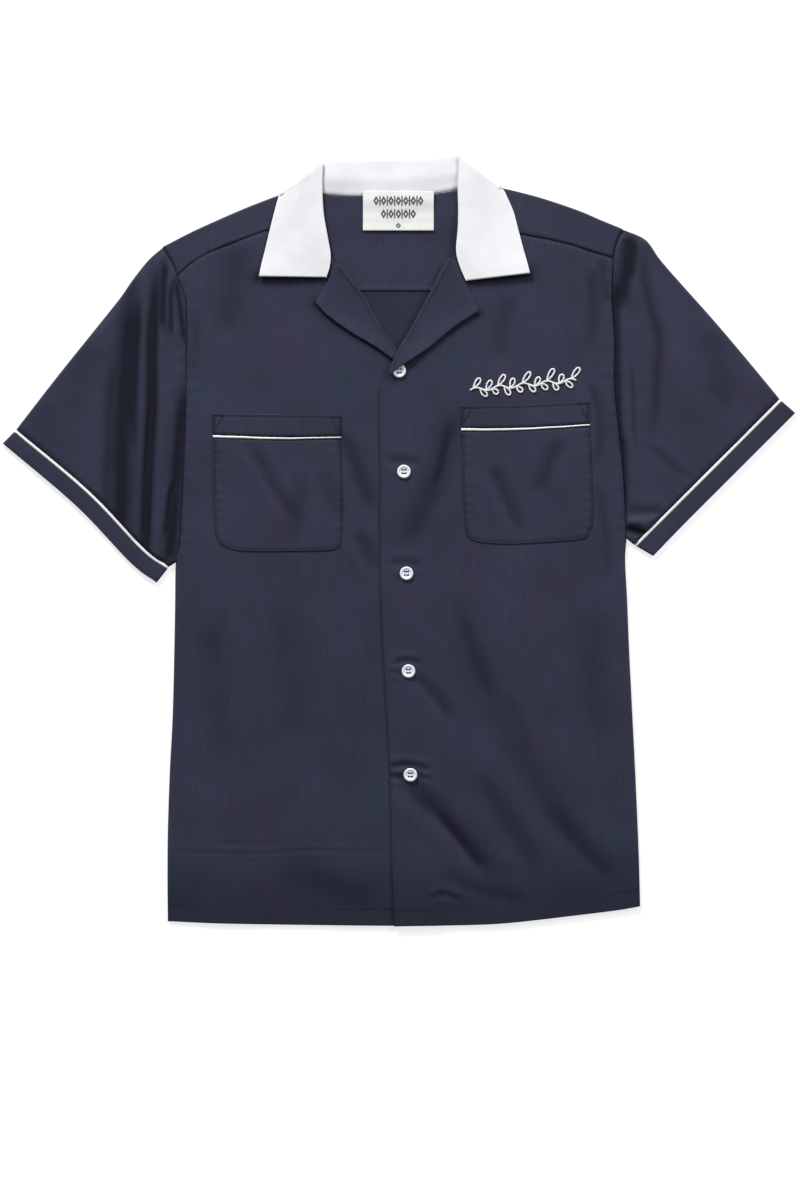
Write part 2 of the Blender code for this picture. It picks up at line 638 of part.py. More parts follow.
def build_buttons():
    """Buttons on the top front, drilled by a shared set of cutters."""
    points, faces = button_mesh()
    for number, (x, y) in enumerate(BUTTONS, start=1):
        foot = float(front_height(np.array(x), np.array(y), "left")) + cloth / 2 + seam_gap + 0.15
        mesh = bpy.data.meshes.new("button_%d" % number)
        mesh.from_pydata([tuple(MM * c for c in p) for p in points], [], faces)
        mesh.materials.append(paint("white_button"))
        button = bpy.data.objects.new("button_%d" % number, mesh)
        button.location = (x * MM, y * MM, foot * MM)
        bpy.context.scene.collection.objects.link(button)
        cutter = bpy.data.objects.new("cutter_%d" % number, hole_cutter(number))
        cutter.location = button.location
        cutter.hide_render = True
        cutter.display_type = "WIRE"
        bpy.context.scene.collection.objects.link(cutter)
        cut = button.modifiers.new("holes", "BOOLEAN")
        cut.operation = "DIFFERENCE"
        cut.solver = "EXACT"
        cut.object = cutter


def hole_cutter(number):
    """Four octagonal prisms through the middle of a button."""
    around, points, faces = 8, [], []
    for sx, sy in ((1, 1), (-1, 1), (-1, -1), (1, -1)):
        first = len(points)
        for z in (-1.0, button_height + 1.0):
            for k in range(around):
                a = 2 * math.pi * k / around
                points.append((
                    (sx * button_hole_offset + button_hole_radius * math.cos(a)) * MM,
                    (sy * button_hole_offset + button_hole_radius * math.sin(a)) * MM,
                    z * MM,
                ))
        for k in range(around):
            after = (k + 1) % around
            faces.append((first + k, first + after, first + around + after, first + around + k))
        faces.append(tuple(first + k for k in reversed(range(around))))
        faces.append(tuple(first + around + k for k in range(around)))
    mesh = bpy.data.meshes.new("cutter_%d" % number)
    mesh.from_pydata(points, [], faces)
    return mesh


def main():
    clear_scene()
    build_back()
    build_yoke()
    build_collar()
    build_stand()
    build_label()
    for side in ("right", "left"):
        build_front(side)
        build_sleeve(side)
        build_lapel(side)
        build_pocket(side)
    build_buttons()


main()
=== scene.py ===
import math

import bpy
import numpy as np
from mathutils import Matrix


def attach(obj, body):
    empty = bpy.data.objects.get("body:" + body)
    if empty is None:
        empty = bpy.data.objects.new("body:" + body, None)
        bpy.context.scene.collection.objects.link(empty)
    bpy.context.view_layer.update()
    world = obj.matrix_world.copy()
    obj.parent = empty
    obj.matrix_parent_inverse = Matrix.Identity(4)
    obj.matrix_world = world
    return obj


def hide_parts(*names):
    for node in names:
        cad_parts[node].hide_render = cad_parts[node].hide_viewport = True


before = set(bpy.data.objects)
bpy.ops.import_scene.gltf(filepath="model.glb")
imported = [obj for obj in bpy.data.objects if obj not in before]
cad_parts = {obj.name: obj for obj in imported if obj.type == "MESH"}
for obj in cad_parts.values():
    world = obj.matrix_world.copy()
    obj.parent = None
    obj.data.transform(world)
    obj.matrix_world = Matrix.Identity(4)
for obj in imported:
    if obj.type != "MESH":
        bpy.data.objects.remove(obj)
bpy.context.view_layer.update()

# Lengths below are in millimetres in the shirt's frame: X across (the wearer's right at -X), Y from hem to
# collar, Z up.
mm = 0.001
cloth = {
    "thickness": 0.6,          # of one layer of shirting
    "backLevel": 0.4,          # middle of the back, lying on the surface
    "frontLevel": 3.5,         # middle of the fronts
    "neckRise": 1.7,           # the yoke climbs over the collar's fall
    "frontRise": 1.5,          # and the fronts climb with it
    "lapRise": 1.7,            # the top front climbs over the under front
    "underLap": 22.0,          # X of the hidden edge of the under front
    "seamGap": 0.3,
    "hemDepth": 18.0, "hemStitchIn": 1.4,
    "underFloor": 2.0,         # no crease of a front goes lower than this
    "overlapGap": 0.75,        # and the top front stays this far above the under front
}


# Shapes are worked out as whole arrays: lines, patches between lines, noise and creases.

def lineThrough(points, perSpan=10):
    # Catmull-Rom: every span is a cubic whose slope at a point is half the chord between its neighbours
    p = np.asarray(points, float)
    if len(p) < 3:
        return p
    ends = np.vstack([2 * p[0] - p[1], p, 2 * p[-1] - p[-2]])
    t = np.linspace(0, 1, perSpan, endpoint=False)[:, None, None]
    a, b, c, d = ends[:-3], ends[1:-2], ends[2:-1], ends[3:]
    spans = b + 0.5 * t * (c - a + t * (2 * a - 5 * b + 4 * c - d + t * (3 * (b - c) + d - a)))
    return np.vstack([spans.transpose(1, 0, 2).reshape(-1, p.shape[1]), p[-1:]])


def alongLine(line, shares):
    # points of a line at these shares of its length, by straight interpolation between its own points
    line = np.asarray(line, float)
    run = np.concatenate([[0], np.cumsum(np.linalg.norm(np.diff(line, axis=0), axis=1))])
    at = np.asarray(shares) * run[-1]
    return np.stack([np.interp(at, run, line[:, k]) for k in range(line.shape[1])], axis=1)


def spanEdges(low, high, start, end, us, vs):
    # Coons patch: the blend along u plus the blend along v, less the blend of the four corners
    u, v = np.asarray(us)[:, None, None], np.asarray(vs)[None, :, None]
    low, high, start, end = (lineThrough(edge) for edge in (low, high, start, end))
    across = (1 - v) * alongLine(low, us)[:, None] + v * alongLine(high, us)[:, None]
    up = (1 - u) * alongLine(start, vs)[None] + u * alongLine(end, vs)[None]
    corners = (1 - u) * ((1 - v) * low[0] + v * high[0]) + u * ((1 - v) * low[-1] + v * high[-1])
    return across + up - corners


def ease(value, start, end):
    # 0 up to start and 1 from end on, with 3t^2 - 2t^3 between
    t = np.clip((value - start) / (end - start), 0, 1)
    return t * t * (3 - 2 * t)


def roundOff(distance, radius):
    # quarter ellipse: 0 at an edge, 1 from the radius inwards
    t = np.clip(distance / radius, 0, 1)
    return np.sqrt(1 - (1 - t) ** 2)


def nearLine(x, y, line):
    # distance to a line, run along it, signed side and the line's length: the foot of the perpendicular on
    # each straight piece, kept between its ends, and the nearest of them all
    line = np.asarray(line, float)
    steps = np.linalg.norm(np.diff(line, axis=0), axis=1)
    best, run, side, done = np.full(np.shape(x), 1e9), np.zeros(np.shape(x)), np.zeros(np.shape(x)), 0.0
    for (ax, ay), (bx, by), step in zip(line[:-1], line[1:], steps):
        dx, dy = (bx - ax) / step, (by - ay) / step
        t = np.clip((x - ax) * dx + (y - ay) * dy, 0, step)
        off = np.hypot(x - ax - t * dx, y - ay - t * dy)
        nearer = off < best
        best, run = np.where(nearer, off, best), np.where(nearer, done + t, run)
        side = np.where(nearer, (x - ax) * dy - (y - ay) * dx, side)
        done += step
    return best, run, side, steps.sum()


def softNoise(x, y, size, seed):
    # hills about this size apart, from -1 to 1: a fixed random lattice read with eased weights
    lattice = np.random.default_rng(seed).uniform(-1, 1, (64, 64))
    gx, gy = np.asarray(x) / size + 31.7, np.asarray(y) / size + 17.3
    i, j = np.floor(gx).astype(int), np.floor(gy).astype(int)
    fx, fy = ease(gx - i, 0, 1), ease(gy - j, 0, 1)
    low = lattice[i % 64, j % 64] * (1 - fx) + lattice[(i + 1) % 64, j % 64] * fx
    high = lattice[i % 64, (j + 1) % 64] * (1 - fx) + lattice[(i + 1) % 64, (j + 1) % 64] * fx
    return low * (1 - fy) + high * fy


def creaseHeight(x, y, rows, depthOnly=False):
    # soft troughs and ridges: a bell exp(-(off / width)^2) along each path, with a lower bell of the other
    # sign on both sides, fading to nothing at both ends; depthOnly gives how far the troughs alone are sunk
    total = np.zeros(np.shape(x))
    for height, width, lip, path in rows:
        if depthOnly and height > 0:
            continue
        off, run, side, length = nearLine(x, y, lineThrough(path, 5))
        signed = np.where(side > 0, off, -off)
        fade = ease(run, 0, 0.22 * length) * (1 - ease(run, 0.74 * length, length))
        bell = np.exp(-(signed / width) ** 2)
        beside = np.exp(-((off - 2.0 * width) / (1.1 * width)) ** 2)
        total += -height * fade * bell if depthOnly else height * fade * (bell - lip * beside)
    return total


def puckers(distance, run, reach, pitch, seed):
    # small ripples that start at a line of stitches and die away from it: a wave along the line, its height
    # and pitch made uneven by two slow noises
    uneven = 0.55 + 0.45 * softNoise(run, run * 0, pitch * 3.1, seed)
    phase = 2 * math.pi * run / pitch + 2.2 * softNoise(run, run * 0, pitch * 2.3, seed + 1)
    return uneven * np.sin(phase) * np.exp(-np.abs(distance) / reach)


def spacedShares(length, step, fine):
    # shares of a length: fine places near both ends, then even steps between them
    inner = np.arange(fine[-1] + step, length - fine[-1] - step / 2, step)
    return np.concatenate([fine, inner, length - np.asarray(fine)[::-1]]) / length


edgeSteps = [0, 0.25, 0.6, 1.1, 1.8, 2.8]


# Meshes and the node helper come next.

def srgb(hexCode):
    # sRGB hex to linear red, green and blue
    parts = [int(hexCode[k:k + 2], 16) / 255 for k in (1, 3, 5)]
    return tuple(c / 12.92 if c <= 0.04045 else ((c + 0.055) / 1.055) ** 2.4 for c in parts)


def addNode(tree, kind, settings=None, links=None):
    # one node, its own settings (in small letters), its sockets' values, and what feeds them
    node = tree.nodes.new(kind)
    for name, value in (settings or {}).items():
        if isinstance(name, str) and name[0].islower():
            setattr(node, name, value)
        else:
            node.inputs[name].default_value = value
    for name, source in (links or {}).items():
        tree.links.new(source, node.inputs[name])
    return node


def newMaterial(name, settings):
    # a material, its tree and its shader, with these values on the shader's sockets
    material = bpy.data.materials.new(name)
    material.use_nodes = True
    shader = material.node_tree.nodes["Principled BSDF"]
    for socket, value in settings.items():
        shader.inputs[socket].default_value = value
    return material, material.node_tree, shader


def mixTones(tree, low, high, share):
    # low + share * (high - low), for two linear colours and a share from another node
    return addNode(tree, "ShaderNodeMix", {"data_type": "RGBA", 6: (*low, 1), 7: (*high, 1)}, {0: share})


def addBump(tree, shader, strength, distance, height):
    # the shader's normal, tilted by the slope of a height that is this many metres at 1
    bump = addNode(tree, "ShaderNodeBump", {"Strength": strength, "Distance": distance}, {"Height": height})
    tree.links.new(bump.outputs["Normal"], shader.inputs["Normal"])


def gridFaces(rows, cols, ring):
    # quads between neighbouring points of a grid; a ring's last column joins its first
    index = np.arange(rows * cols).reshape(rows, cols)
    wide = np.concatenate([index, index[:, :1]], axis=1) if ring else index
    return np.stack([wide[:-1, :-1], wide[1:, :-1], wide[1:, 1:], wide[:-1, 1:]], axis=-1).reshape(-1, 4)


def meshObject(name, points, faces, material, uv=None, attributes=None):
    # object from points in millimetres, quads or triangles, and per-point UVs and attributes
    points, faces = np.asarray(points, float) * mm, np.asarray(faces, np.int32)
    mesh = bpy.data.meshes.new(name)
    sides = faces.shape[1]
    mesh.vertices.add(len(points))
    mesh.vertices.foreach_set("co", points.ravel())
    mesh.loops.add(faces.size)
    mesh.loops.foreach_set("vertex_index", faces.ravel())
    mesh.polygons.add(len(faces))
    mesh.polygons.foreach_set("loop_start", np.arange(0, faces.size, sides, dtype=np.int32))
    if uv is not None:
        layer = mesh.uv_layers.new(name="cloth")
        layer.uv.foreach_set("vector", np.asarray(uv, float)[faces.ravel()].ravel())
    for key, values in (attributes or {}).items():
        data = mesh.attributes.new(key, "FLOAT", "POINT").data
        data.foreach_set("value", np.asarray(values, float).ravel())
    mesh.update(calc_edges=True)
    mesh.validate()
    mesh.materials.append(material)
    mesh.shade_smooth()
    piece = bpy.data.objects.new(name, mesh)
    bpy.context.scene.collection.objects.link(piece)
    return piece


def clothPiece(name, grid, material, thickness=None, ring=False, uv=None, worn=0.0, shade=0.0, faces="up"):
    # shell on a grid of points on its outer face; the wall is laid on its inner side. Its outer face looks up
    # or down, or away from the middle height of a piece that is folded over
    rows, cols = grid.shape[:2]
    quads = gridFaces(rows, cols, ring)
    wide = np.concatenate([grid, grid[:, :1]], axis=1) if ring else grid
    one, two = wide[1:, 1:] - wide[:-1, :-1], wide[:-1, 1:] - wide[1:, :-1]
    upward = one[..., 0] * two[..., 1] - one[..., 1] * two[..., 0]
    middle = (grid[..., 2].max() + grid[..., 2].min()) / 2
    weight = {"up": 1.0, "down": -1.0, "away": wide[1:, 1:, 2] - middle}[faces]
    faces = quads if (upward * weight).sum() > 0 else quads[:, ::-1]
    if uv is None:
        uv = grid[..., :2]
    # shade is painted shade, kept below 0.9: crease troughs, seams and the cloth under edges are darkened in
    # colour; the label uses it for its woven motif
    blank = np.zeros((rows, cols))
    piece = meshObject(name, grid.reshape(-1, 3), faces, material, np.reshape(uv, (-1, 2)) * mm,
                       {"worn": np.clip(worn + blank, 0, 1), "shade": np.clip(shade + blank, 0, 0.9)})
    wall = piece.modifiers.new("wall", "SOLIDIFY")
    wall.thickness = (thickness or cloth["thickness"]) * mm
    wall.offset = -1
    wall.use_even_offset = False
    return piece


def finishPiece(piece, slotName, *nodes):
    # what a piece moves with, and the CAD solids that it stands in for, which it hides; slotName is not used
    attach(piece, "root")
    if nodes:
        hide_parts(*nodes)
    return piece


def clothArea(grid, ring=False):
    # area in square metres of a grid in millimetres: half the cross product of each quad's diagonals
    wide = np.concatenate([grid, grid[:, :1]], axis=1) if ring else grid
    one, two = wide[1:, 1:] - wide[:-1, :-1], wide[1:, :-1] - wide[:-1, 1:]
    return np.linalg.norm(np.cross(one, two), axis=-1).sum() / 2 * mm * mm


# The cloths are one twill recipe with different colours and finishes.

weave = {
    "twillPitch": 1.5,          # real ribs are 0.5 mm apart; drawn three times as wide, so that they show
    "slubWidth": 1.4, "slubLength": 46.0, "patchScale": 13.0, "tintScale": 20.0,
    "tintShare": 0.36,          # how much of the colour comes from the cool and warm clouds
    "paintedShadeTone": "#0a0c1a",      # painted shade: the dark colour that crease troughs, seams and the cloth under edges are mixed towards
}
cloths = {
    # name: dark yarn, light yarn, cool cloud, warm cloud, rubbed edge, roughness, specular level, bump
    # height, how far the slubs and the ribs change the tone
    "navyTwill": ("#1b1c2a", "#393b4e", "#283a49", "#382f47", "#4a4e60", 0.57, 0.15, 0.10, 0.36, 0.07),
    # a darker copy of the navy twill for the inside of the back, which lies in shade: painted shade
    "navyTwillShadedInside": ("#171924", "#303342", "#222f3c", "#2f293c", "#3a3d4d", 0.66, 0.14, 0.10, 0.36, 0.07),
    "whitePoplin": ("#dddde0", "#e3e3e6", "#dfe1e3", "#e2e0e4", "#eeeef0", 0.65, 0.2, 0.02, 0.2, 0.01),
    "whitePipingSatin": ("#dcdbd8", "#eae9e7", "#e2e2e2", "#e5e4e2", "#f4f4f4", 0.5, 0.3, 0.12, 0.5, 0.07),
    "labelDamask": ("#dddedc", "#e7e8e6", "#dfe2df", "#e3e2e1", "#eeeeee", 0.5, 0.25, 0.03, 0.3, 0.02),
}


def makeTwill(name):
    # fine yarn-dyed twill, pressed: diagonal ribs too small to count, long slubs along the warp, and a faint
    # satin gleam on folds because the yarn is a smooth filament blend
    dark, light, teal, plum, worn, roughness, specular, bumpHeight, slubDepth, ribDepth = cloths[name]
    material, tree, shader = newMaterial(name, {
        "Roughness": roughness, "Specular IOR Level": specular, "IOR": 1.5,
        "Sheen Weight": 0.03, "Sheen Roughness": 0.4, "Sheen Tint": (*srgb("#8f9cc0"), 1),
    })
    uv = addNode(tree, "ShaderNodeUVMap", {"uv_map": "cloth"}).outputs["UV"]
    slubScale = addNode(tree, "ShaderNodeMapping", {
        "Scale": (1000 / weave["slubWidth"], 1000 / weave["slubLength"], 1)}, {"Vector": uv})
    slub = addNode(tree, "ShaderNodeTexNoise", {"Scale": 1.0, "Detail": 3.0, "Roughness": 0.6},
                   {"Vector": slubScale.outputs["Vector"]})
    slubTone = addNode(tree, "ShaderNodeMapRange", {
        "From Min": 0.25, "From Max": 0.75, "To Min": 0.5 - slubDepth / 2, "To Max": 0.5 + slubDepth / 2},
        {"Value": slub.outputs["Fac"]})
    patch = addNode(tree, "ShaderNodeTexNoise", {
        "Scale": weave["patchScale"], "Detail": 5.0, "Roughness": 0.6}, {"Vector": uv})
    tall = addNode(tree, "ShaderNodeMapping", {"Scale": (1.0, 0.45, 1.0)}, {"Vector": uv})
    tint = addNode(tree, "ShaderNodeTexNoise", {
        "Scale": weave["tintScale"], "Detail": 6.0, "Roughness": 0.62}, {"Vector": tall.outputs["Vector"]})
    turn = addNode(tree, "ShaderNodeMapping", {
        "Rotation": (0, 0, math.radians(27)), "Scale": (1000 / weave["twillPitch"],) * 3}, {"Vector": uv})
    ribs = addNode(tree, "ShaderNodeTexWave", {
        "wave_type": "BANDS", "bands_direction": "X", "Scale": 0.3142, "Distortion": 1.2,
        "Detail": 1.0, "Detail Scale": 1.4}, {"Vector": turn.outputs["Vector"]})
    base = mixTones(tree, srgb(dark), srgb(light), slubTone.outputs["Result"])
    tintShare = addNode(tree, "ShaderNodeMapRange", {"From Min": 0.30, "From Max": 0.70},
                        {"Value": tint.outputs["Fac"]})
    warm = mixTones(tree, srgb(teal), srgb(plum), tintShare.outputs["Result"])
    mixed = addNode(tree, "ShaderNodeMix", {"data_type": "RGBA", 0: weave["tintShare"]},
                    {6: base.outputs[2], 7: warm.outputs[2]})
    level = addNode(tree, "ShaderNodeMapRange", {
        "From Min": 0.25, "From Max": 0.75, "To Min": 0.84, "To Max": 1.16}, {"Value": patch.outputs["Fac"]})
    rib = addNode(tree, "ShaderNodeMapRange", {"To Min": 1 - ribDepth, "To Max": 1 + ribDepth},
                  {"Value": ribs.outputs["Fac"]})
    shade = addNode(tree, "ShaderNodeMath", {"operation": "MULTIPLY"},
                    {0: level.outputs["Result"], 1: rib.outputs["Result"]})
    toned = addNode(tree, "ShaderNodeVectorMath", {"operation": "SCALE"},
                    {0: mixed.outputs[2], "Scale": shade.outputs["Value"]})
    rubbed = addNode(tree, "ShaderNodeAttribute", {"attribute_name": "worn"})
    edge = addNode(tree, "ShaderNodeMath", {"operation": "MULTIPLY", 1: 0.3}, {0: rubbed.outputs["Fac"]})
    final = addNode(tree, "ShaderNodeMix", {"data_type": "RGBA", 7: (*srgb(worn), 1)},
                    {0: edge.outputs["Value"], 6: toned.outputs["Vector"]})
    # painted shade: the shade attribute mixes the colour towards the weave's dark painted-shade tone in
    # crease troughs, along seams and under lapel and collar edges; on the label it carries the woven motif
    # instead
    paintedShade = addNode(tree, "ShaderNodeAttribute", {"attribute_name": "shade"})
    deep = addNode(tree, "ShaderNodeMix", {"data_type": "RGBA", 7: (*srgb(weave["paintedShadeTone"]), 1)},
                   {0: paintedShade.outputs["Fac"], 6: final.outputs[2]})
    tree.links.new(deep.outputs[2], shader.inputs["Base Color"])
    heights = addNode(tree, "ShaderNodeMath", {"operation": "MULTIPLY_ADD", 1: 0.2},
                      {0: slub.outputs["Fac"], 2: ribs.outputs["Fac"]})
    addBump(tree, shader, 0.35, bumpHeight * mm, heights.outputs["Value"])
    return material


navyTwill = makeTwill("navyTwill")
navyShadedInside = makeTwill("navyTwillShadedInside")
whitePoplin = makeTwill("whitePoplin")
whitePiping = makeTwill("whitePipingSatin")
labelSatin = makeTwill("labelDamask")


def makeThread(name, colour, roughness, sheen):
    # spun polyester thread: dull, slightly fuzzy, twisted round itself
    material, tree, shader = newMaterial(name, {
        "Roughness": roughness, "Specular IOR Level": 0.3, "Sheen Weight": sheen})
    where = addNode(tree, "ShaderNodeTexCoord").outputs["Object"]
    fuzz = addNode(tree, "ShaderNodeTexNoise", {"Scale": 1900.0, "Detail": 2.0}, {"Vector": where})
    deep = tuple(c * 0.72 for c in srgb(colour))
    mixed = mixTones(tree, deep, srgb(colour), fuzz.outputs["Fac"])
    tree.links.new(mixed.outputs[2], shader.inputs["Base Color"])
    addBump(tree, shader, 0.5, 0.1 * mm, fuzz.outputs["Fac"])
    return material


navyThread = makeThread("navyThread", "#181a26", 0.7, 0.1)
whiteThread = makeThread("whiteThread", "#f4f4f4", 0.6, 0.15)
print("materials ready")

# Pieces that meet share these outlines; each is a list of points for a smooth line.

outline = {
    "right": {
        "yokeSeam": [(-221, 264), (-209, 275), (-194, 285), (-169, 295), (-134, 308), (-100, 312)],
        "armhole": [(-236, 293), (-227, 278), (-221, 264), (-214, 244), (-212, 230), (-212, 180), (-213, 120),
                    (-216, 50), (-219, -5), (-223, -22)],
        "side": [(-223, -22), (-224, -80), (-226, -170), (-229, -230), (-231, -290), (-231.4, -340),
                 (-231, -381)],
        "sleeveTop": [(-236, 293), (-250, 280), (-266, 260), (-280, 240), (-312, 200), (-344, 160),
                      (-383.7, 109)],
        "sleeveEnd": [(-383.7, 109), (-309.7, 46.6), (-256.1, -9.5), (-230.6, -27.9)],
        "cuffEnd": [(-396, 96.5), (-322, 33.5), (-268, -23), (-242.1, -42.7)],
        "hem": [(-231, -381), (-180, -383.2), (-101, -384.6), (-5, -385.6), (22, -385.4)],
        "roll": [(-59, 275), (-49.5, 263), (-37, 246), (-24, 223), (-13, 205), (-3.7, 193), (3, 185)],
        "underNeck": [(-59, 275), (-70, 292), (-84, 303), (-100, 312)],
        "centre": [(22, -385.4), (22, -200), (22, 0), (22, 148), (14, 172), (3, 185)],
    },
    "left": {
        "yokeSeam": [(213.5, 281.5), (192, 288), (171, 295), (141, 301.5), (111, 307), (88, 312)],
        "armhole": [(223, 311), (217, 297), (213.5, 281.5), (212.5, 240), (215, 200), (214.5, 170),
                    (215.5, 145), (219, 110), (224, 60), (226.5, 9), (227.3, 2)],
        "side": [(227.3, 2), (226, -20), (228, -60), (230, -110), (233, -170), (236, -230), (239.5, -310),
                 (241, -366)],
        "sleeveTop": [(223, 311), (246, 300), (261, 280), (281, 257), (314, 220), (348, 180), (381.6, 139.7)],
        "sleeveEnd": [(381.6, 139.7), (345, 103), (308, 66), (272, 30), (236.2, -5.7)],
        "cuffEnd": [(396, 127), (360, 91), (324, 55), (288, 19), (254, -16)],
        "hem": [(-5, -386), (76, -384.6), (117, -382), (178, -375), (218, -370), (241, -366)],
        "roll": [(49, 281), (39.5, 264), (32, 249), (21, 228), (8.3, 205), (-0.3, 191), (-5.7, 180.3),
                 (-9.5, 170.5)],
        "underNeck": [(49, 281), (62, 297), (74, 306), (88, 312)],
        "centre": [(-5, -386), (-7.4, -320), (-9.3, -233.8), (-12.2, -176.5), (-16.6, -100), (-18.8, -35),
                   (-19.4, 100), (-19.7, 146), (-15.7, 157), (-9.5, 170.5)],
    },
}
# where the buttons are sewn, from the top one down, and the lapels' and the collar's lower edges
buttonPlaces = [(0.2, 168.6), (4.9, 68.1), (7.5, -33.4), (9.5, -131), (11.4, -234.5)]
lapelShape = {
    "right": {
        "outer": [(-84, 236), (-72, 223), (-47.3, 206), (-29, 195.7), (-15.7, 187), (-6.3, 180.3),
                  (-2, 177.5)],
        "notch": [(-59, 275), (-66.5, 272), (-70.5, 259.5), (-84, 236)],
        "tip": [(3, 185), (-2, 177.5)],
    },
    "left": {
        "outer": [(80, 226.5), (60, 214.5), (46, 204), (31, 191.7), (7.7, 176.3), (-6.3, 166.3), (-9, 164)],
        "notch": [(49, 281), (56, 278), (66, 256.5), (80, 226.5)],
        "tip": [(-9.5, 170.5), (-9, 164)],
    },
    "rollRadius": 0.9, "lift": 1.3,
}
collarEdge = {"right": [(-139.8, 262.6), (-72.5, 262)], "left": [(66.8, 258.5), (130.7, 266)]}


def moved(line, dx, dy=0.0):
    # (x + dx, y + dy) for every point
    return [(x + dx, y + dy) for x, y in line]


def neckNear(x, y):
    # 1 at the neck, 0 out on the shoulders and down the chest
    return (1 - ease(np.abs(x + 4), 120, 190)) * ease(y, 215, 300)


def shoulderHeight(x, y):
    # middle of the fronts' cloth: their level, and up with the neck
    return cloth["frontLevel"] + cloth["frontRise"] * neckNear(x, y)


def backHeight(x, y):
    # flat on the surface, then up over the collar's fall at the neck
    near = (1 - ease(np.abs(x + 8), 118, 150)) * ease(y, 292, 325)
    loose = 0.15 * softNoise(x, y, 60, 5) + 0.15
    return cloth["backLevel"] + cloth["neckRise"] * near + loose


# The fronts carry most of the creases.

frontCreases = {
    # height, half width, lip, path
    "right": [
        (-1.0, 15, 0.3, [(-158, 300), (-165, 250), (-172, 195)]),
        (-1.4, 8, 0.5, [(-60, 112), (-44, 74), (-24, 20)]),
        (-1.1, 7, 0.5, [(-44, 10), (-32, -12), (-19, -36)]),
        (-1.0, 6, 0.5, [(-152, 100), (-138, 76), (-124, 50), (-99, 10)]),
        (-0.8, 9, 0.4, [(-96, 70), (-100, 34), (-106, -14)]),
        (-0.8, 9, 0.4, [(-80, 70), (-68, 40), (-54, 16)]),
        (-0.7, 18, 0.3, [(-120, -60), (-104, -140), (-96, -220)]),
        (-0.7, 16, 0.3, [(-190, -70), (-182, -160), (-178, -240)]),
        (0.7, 22, 0.2, [(-60, -90), (-50, -170), (-46, -250)]),
        (-0.35, 1.8, 0.8, [(-250, -311), (-150, -313), (-80, -310), (20, -313)]),
        (-0.3, 2.4, 0.5, [(-190, -303), (-150, -304), (-108, -304)]),
        (-0.8, 14, 0.3, [(-120, -330), (-60, -350), (-14, -366)]),
        (-0.7, 5, 0.4, [(-205, 232), (-203, 190), (-206, 150)]),
    ],
    "left": [
        (-1.5, 12, 0.35, [(60, 140), (48, 96), (36, 54), (15, 10), (6, -24)]),
        (-0.9, 4, 0.5, [(52, 118), (44, 84), (34, 44)]),
        (-1.1, 7, 0.4, [(193, 275), (194, 235), (193, 180)]),
        (-1.0, 5, 0.4, [(202, 283), (206, 255), (208, 228)]),
        (-1.1, 5, 0.5, [(190, 162), (201, 112), (198, 66)]),
        (-0.8, 5, 0.5, [(196, 60), (205, 10), (210, -50)]),
        (-1.2, 7, 0.5, [(88, 80), (102, 52), (126, -2)]),
        (-1.1, 8, 0.4, [(164, 104), (150, 72), (138, 40)]),
        (-0.9, 15, 0.4, [(50, -40), (66, -90), (93, -162), (129, -228), (153, -264), (195, -318),
                         (230, -352)]),
        (-0.5, 5, 0.5, [(104, -150), (122, -186), (134, -226)]),
        (-0.7, 6, 0.5, [(62, -72), (76, -118), (96, -166)]),
        (-1.1, 6, 0.5, [(12, -132), (30, -150), (58, -184)]),
        (-1.7, 9, 0.5, [(2, -236), (24, -260), (50, -284), (72, -308), (102, -350)]),
        (-1.1, 4.5, 0.5, [(34, -268), (60, -298), (86, -332)]),
        (-1.1, 10, 0.4, [(74, -226), (96, -262), (120, -300), (150, -342)]),
        (-1.0, 9, 0.4, [(140, -262), (178, -302), (222, -346)]),
        (-0.7, 7, 0.4, [(36, -330), (80, -350), (140, -366)]),
        (-1.0, 2.6, 0.5, [(28, -360), (42, -354), (58, -358), (66, -363)]),
        (-1.2, 2.6, 0.5, [(-6, -125), (2, -121), (14, -121), (26, -125)]),
        (-0.8, 2.0, 0.5, [(-12, -131), (-2, -133), (6, -133)]),
        (-1.7, 2.8, 0.6, [(-12, -229), (0, -225), (14, -225), (34, -231)]),
        (-1.0, 2.2, 0.5, [(8, -228), (22, -236), (36, -240)]),
        (-1.2, 3.0, 0.4, [(-14, -236), (0, -237), (8, -240)]),
        (-0.8, 4, 0.4, [(-12, -24), (6, -23), (26, -26)]),
        (-0.8, 4, 0.4, [(-14, 78), (4, 79), (24, 76)]),
        (-0.9, 18, 0.3, [(190, -60), (196, -140), (206, -220)]),
        (0.8, 20, 0.2, [(120, -40), (140, -110), (168, -190)]),
        (-0.9, 12, 0.3, [(110, 250), (104, 210), (96, 170)]),
    ],
}


def frontHeight(x, y, side):
    # outer face of a front: level, up at the neck, falling towards the hem, with its creases and a slow
    # unevenness; the top front climbs over the under front, and a soft maximum keeps it above what it lies on
    height = shoulderHeight(x, y) + cloth["thickness"] / 2
    height = height - 1.1 * (1 - ease(y, -384, -318)) * (1 if side == "right" else 0.4)
    height = height + creaseHeight(x, y, frontCreases[side])
    height = height + 0.45 * softNoise(x, y * 0.5, 46, 11) + 0.16 * softNoise(x, y * 0.35, 15, 12)
    if side == "left":
        climb = (1 - ease(x, cloth["underLap"] + 5, cloth["underLap"] + 32)) * (1 - 0.6 * ease(y, 215, 300))
        height = height + cloth["lapRise"] * climb
    floor = np.full(np.shape(x), cloth["underFloor"])
    if side == "left":
        over = frontHeight(x, y, "right") + cloth["overlapGap"]
        floor = floor + (over - floor) * (1 - ease(x, 23, 30))
    return floor + np.logaddexp(0, (height - floor) * 4) / 4


hemStitch = cloth["hemDepth"] - cloth["hemStitchIn"]


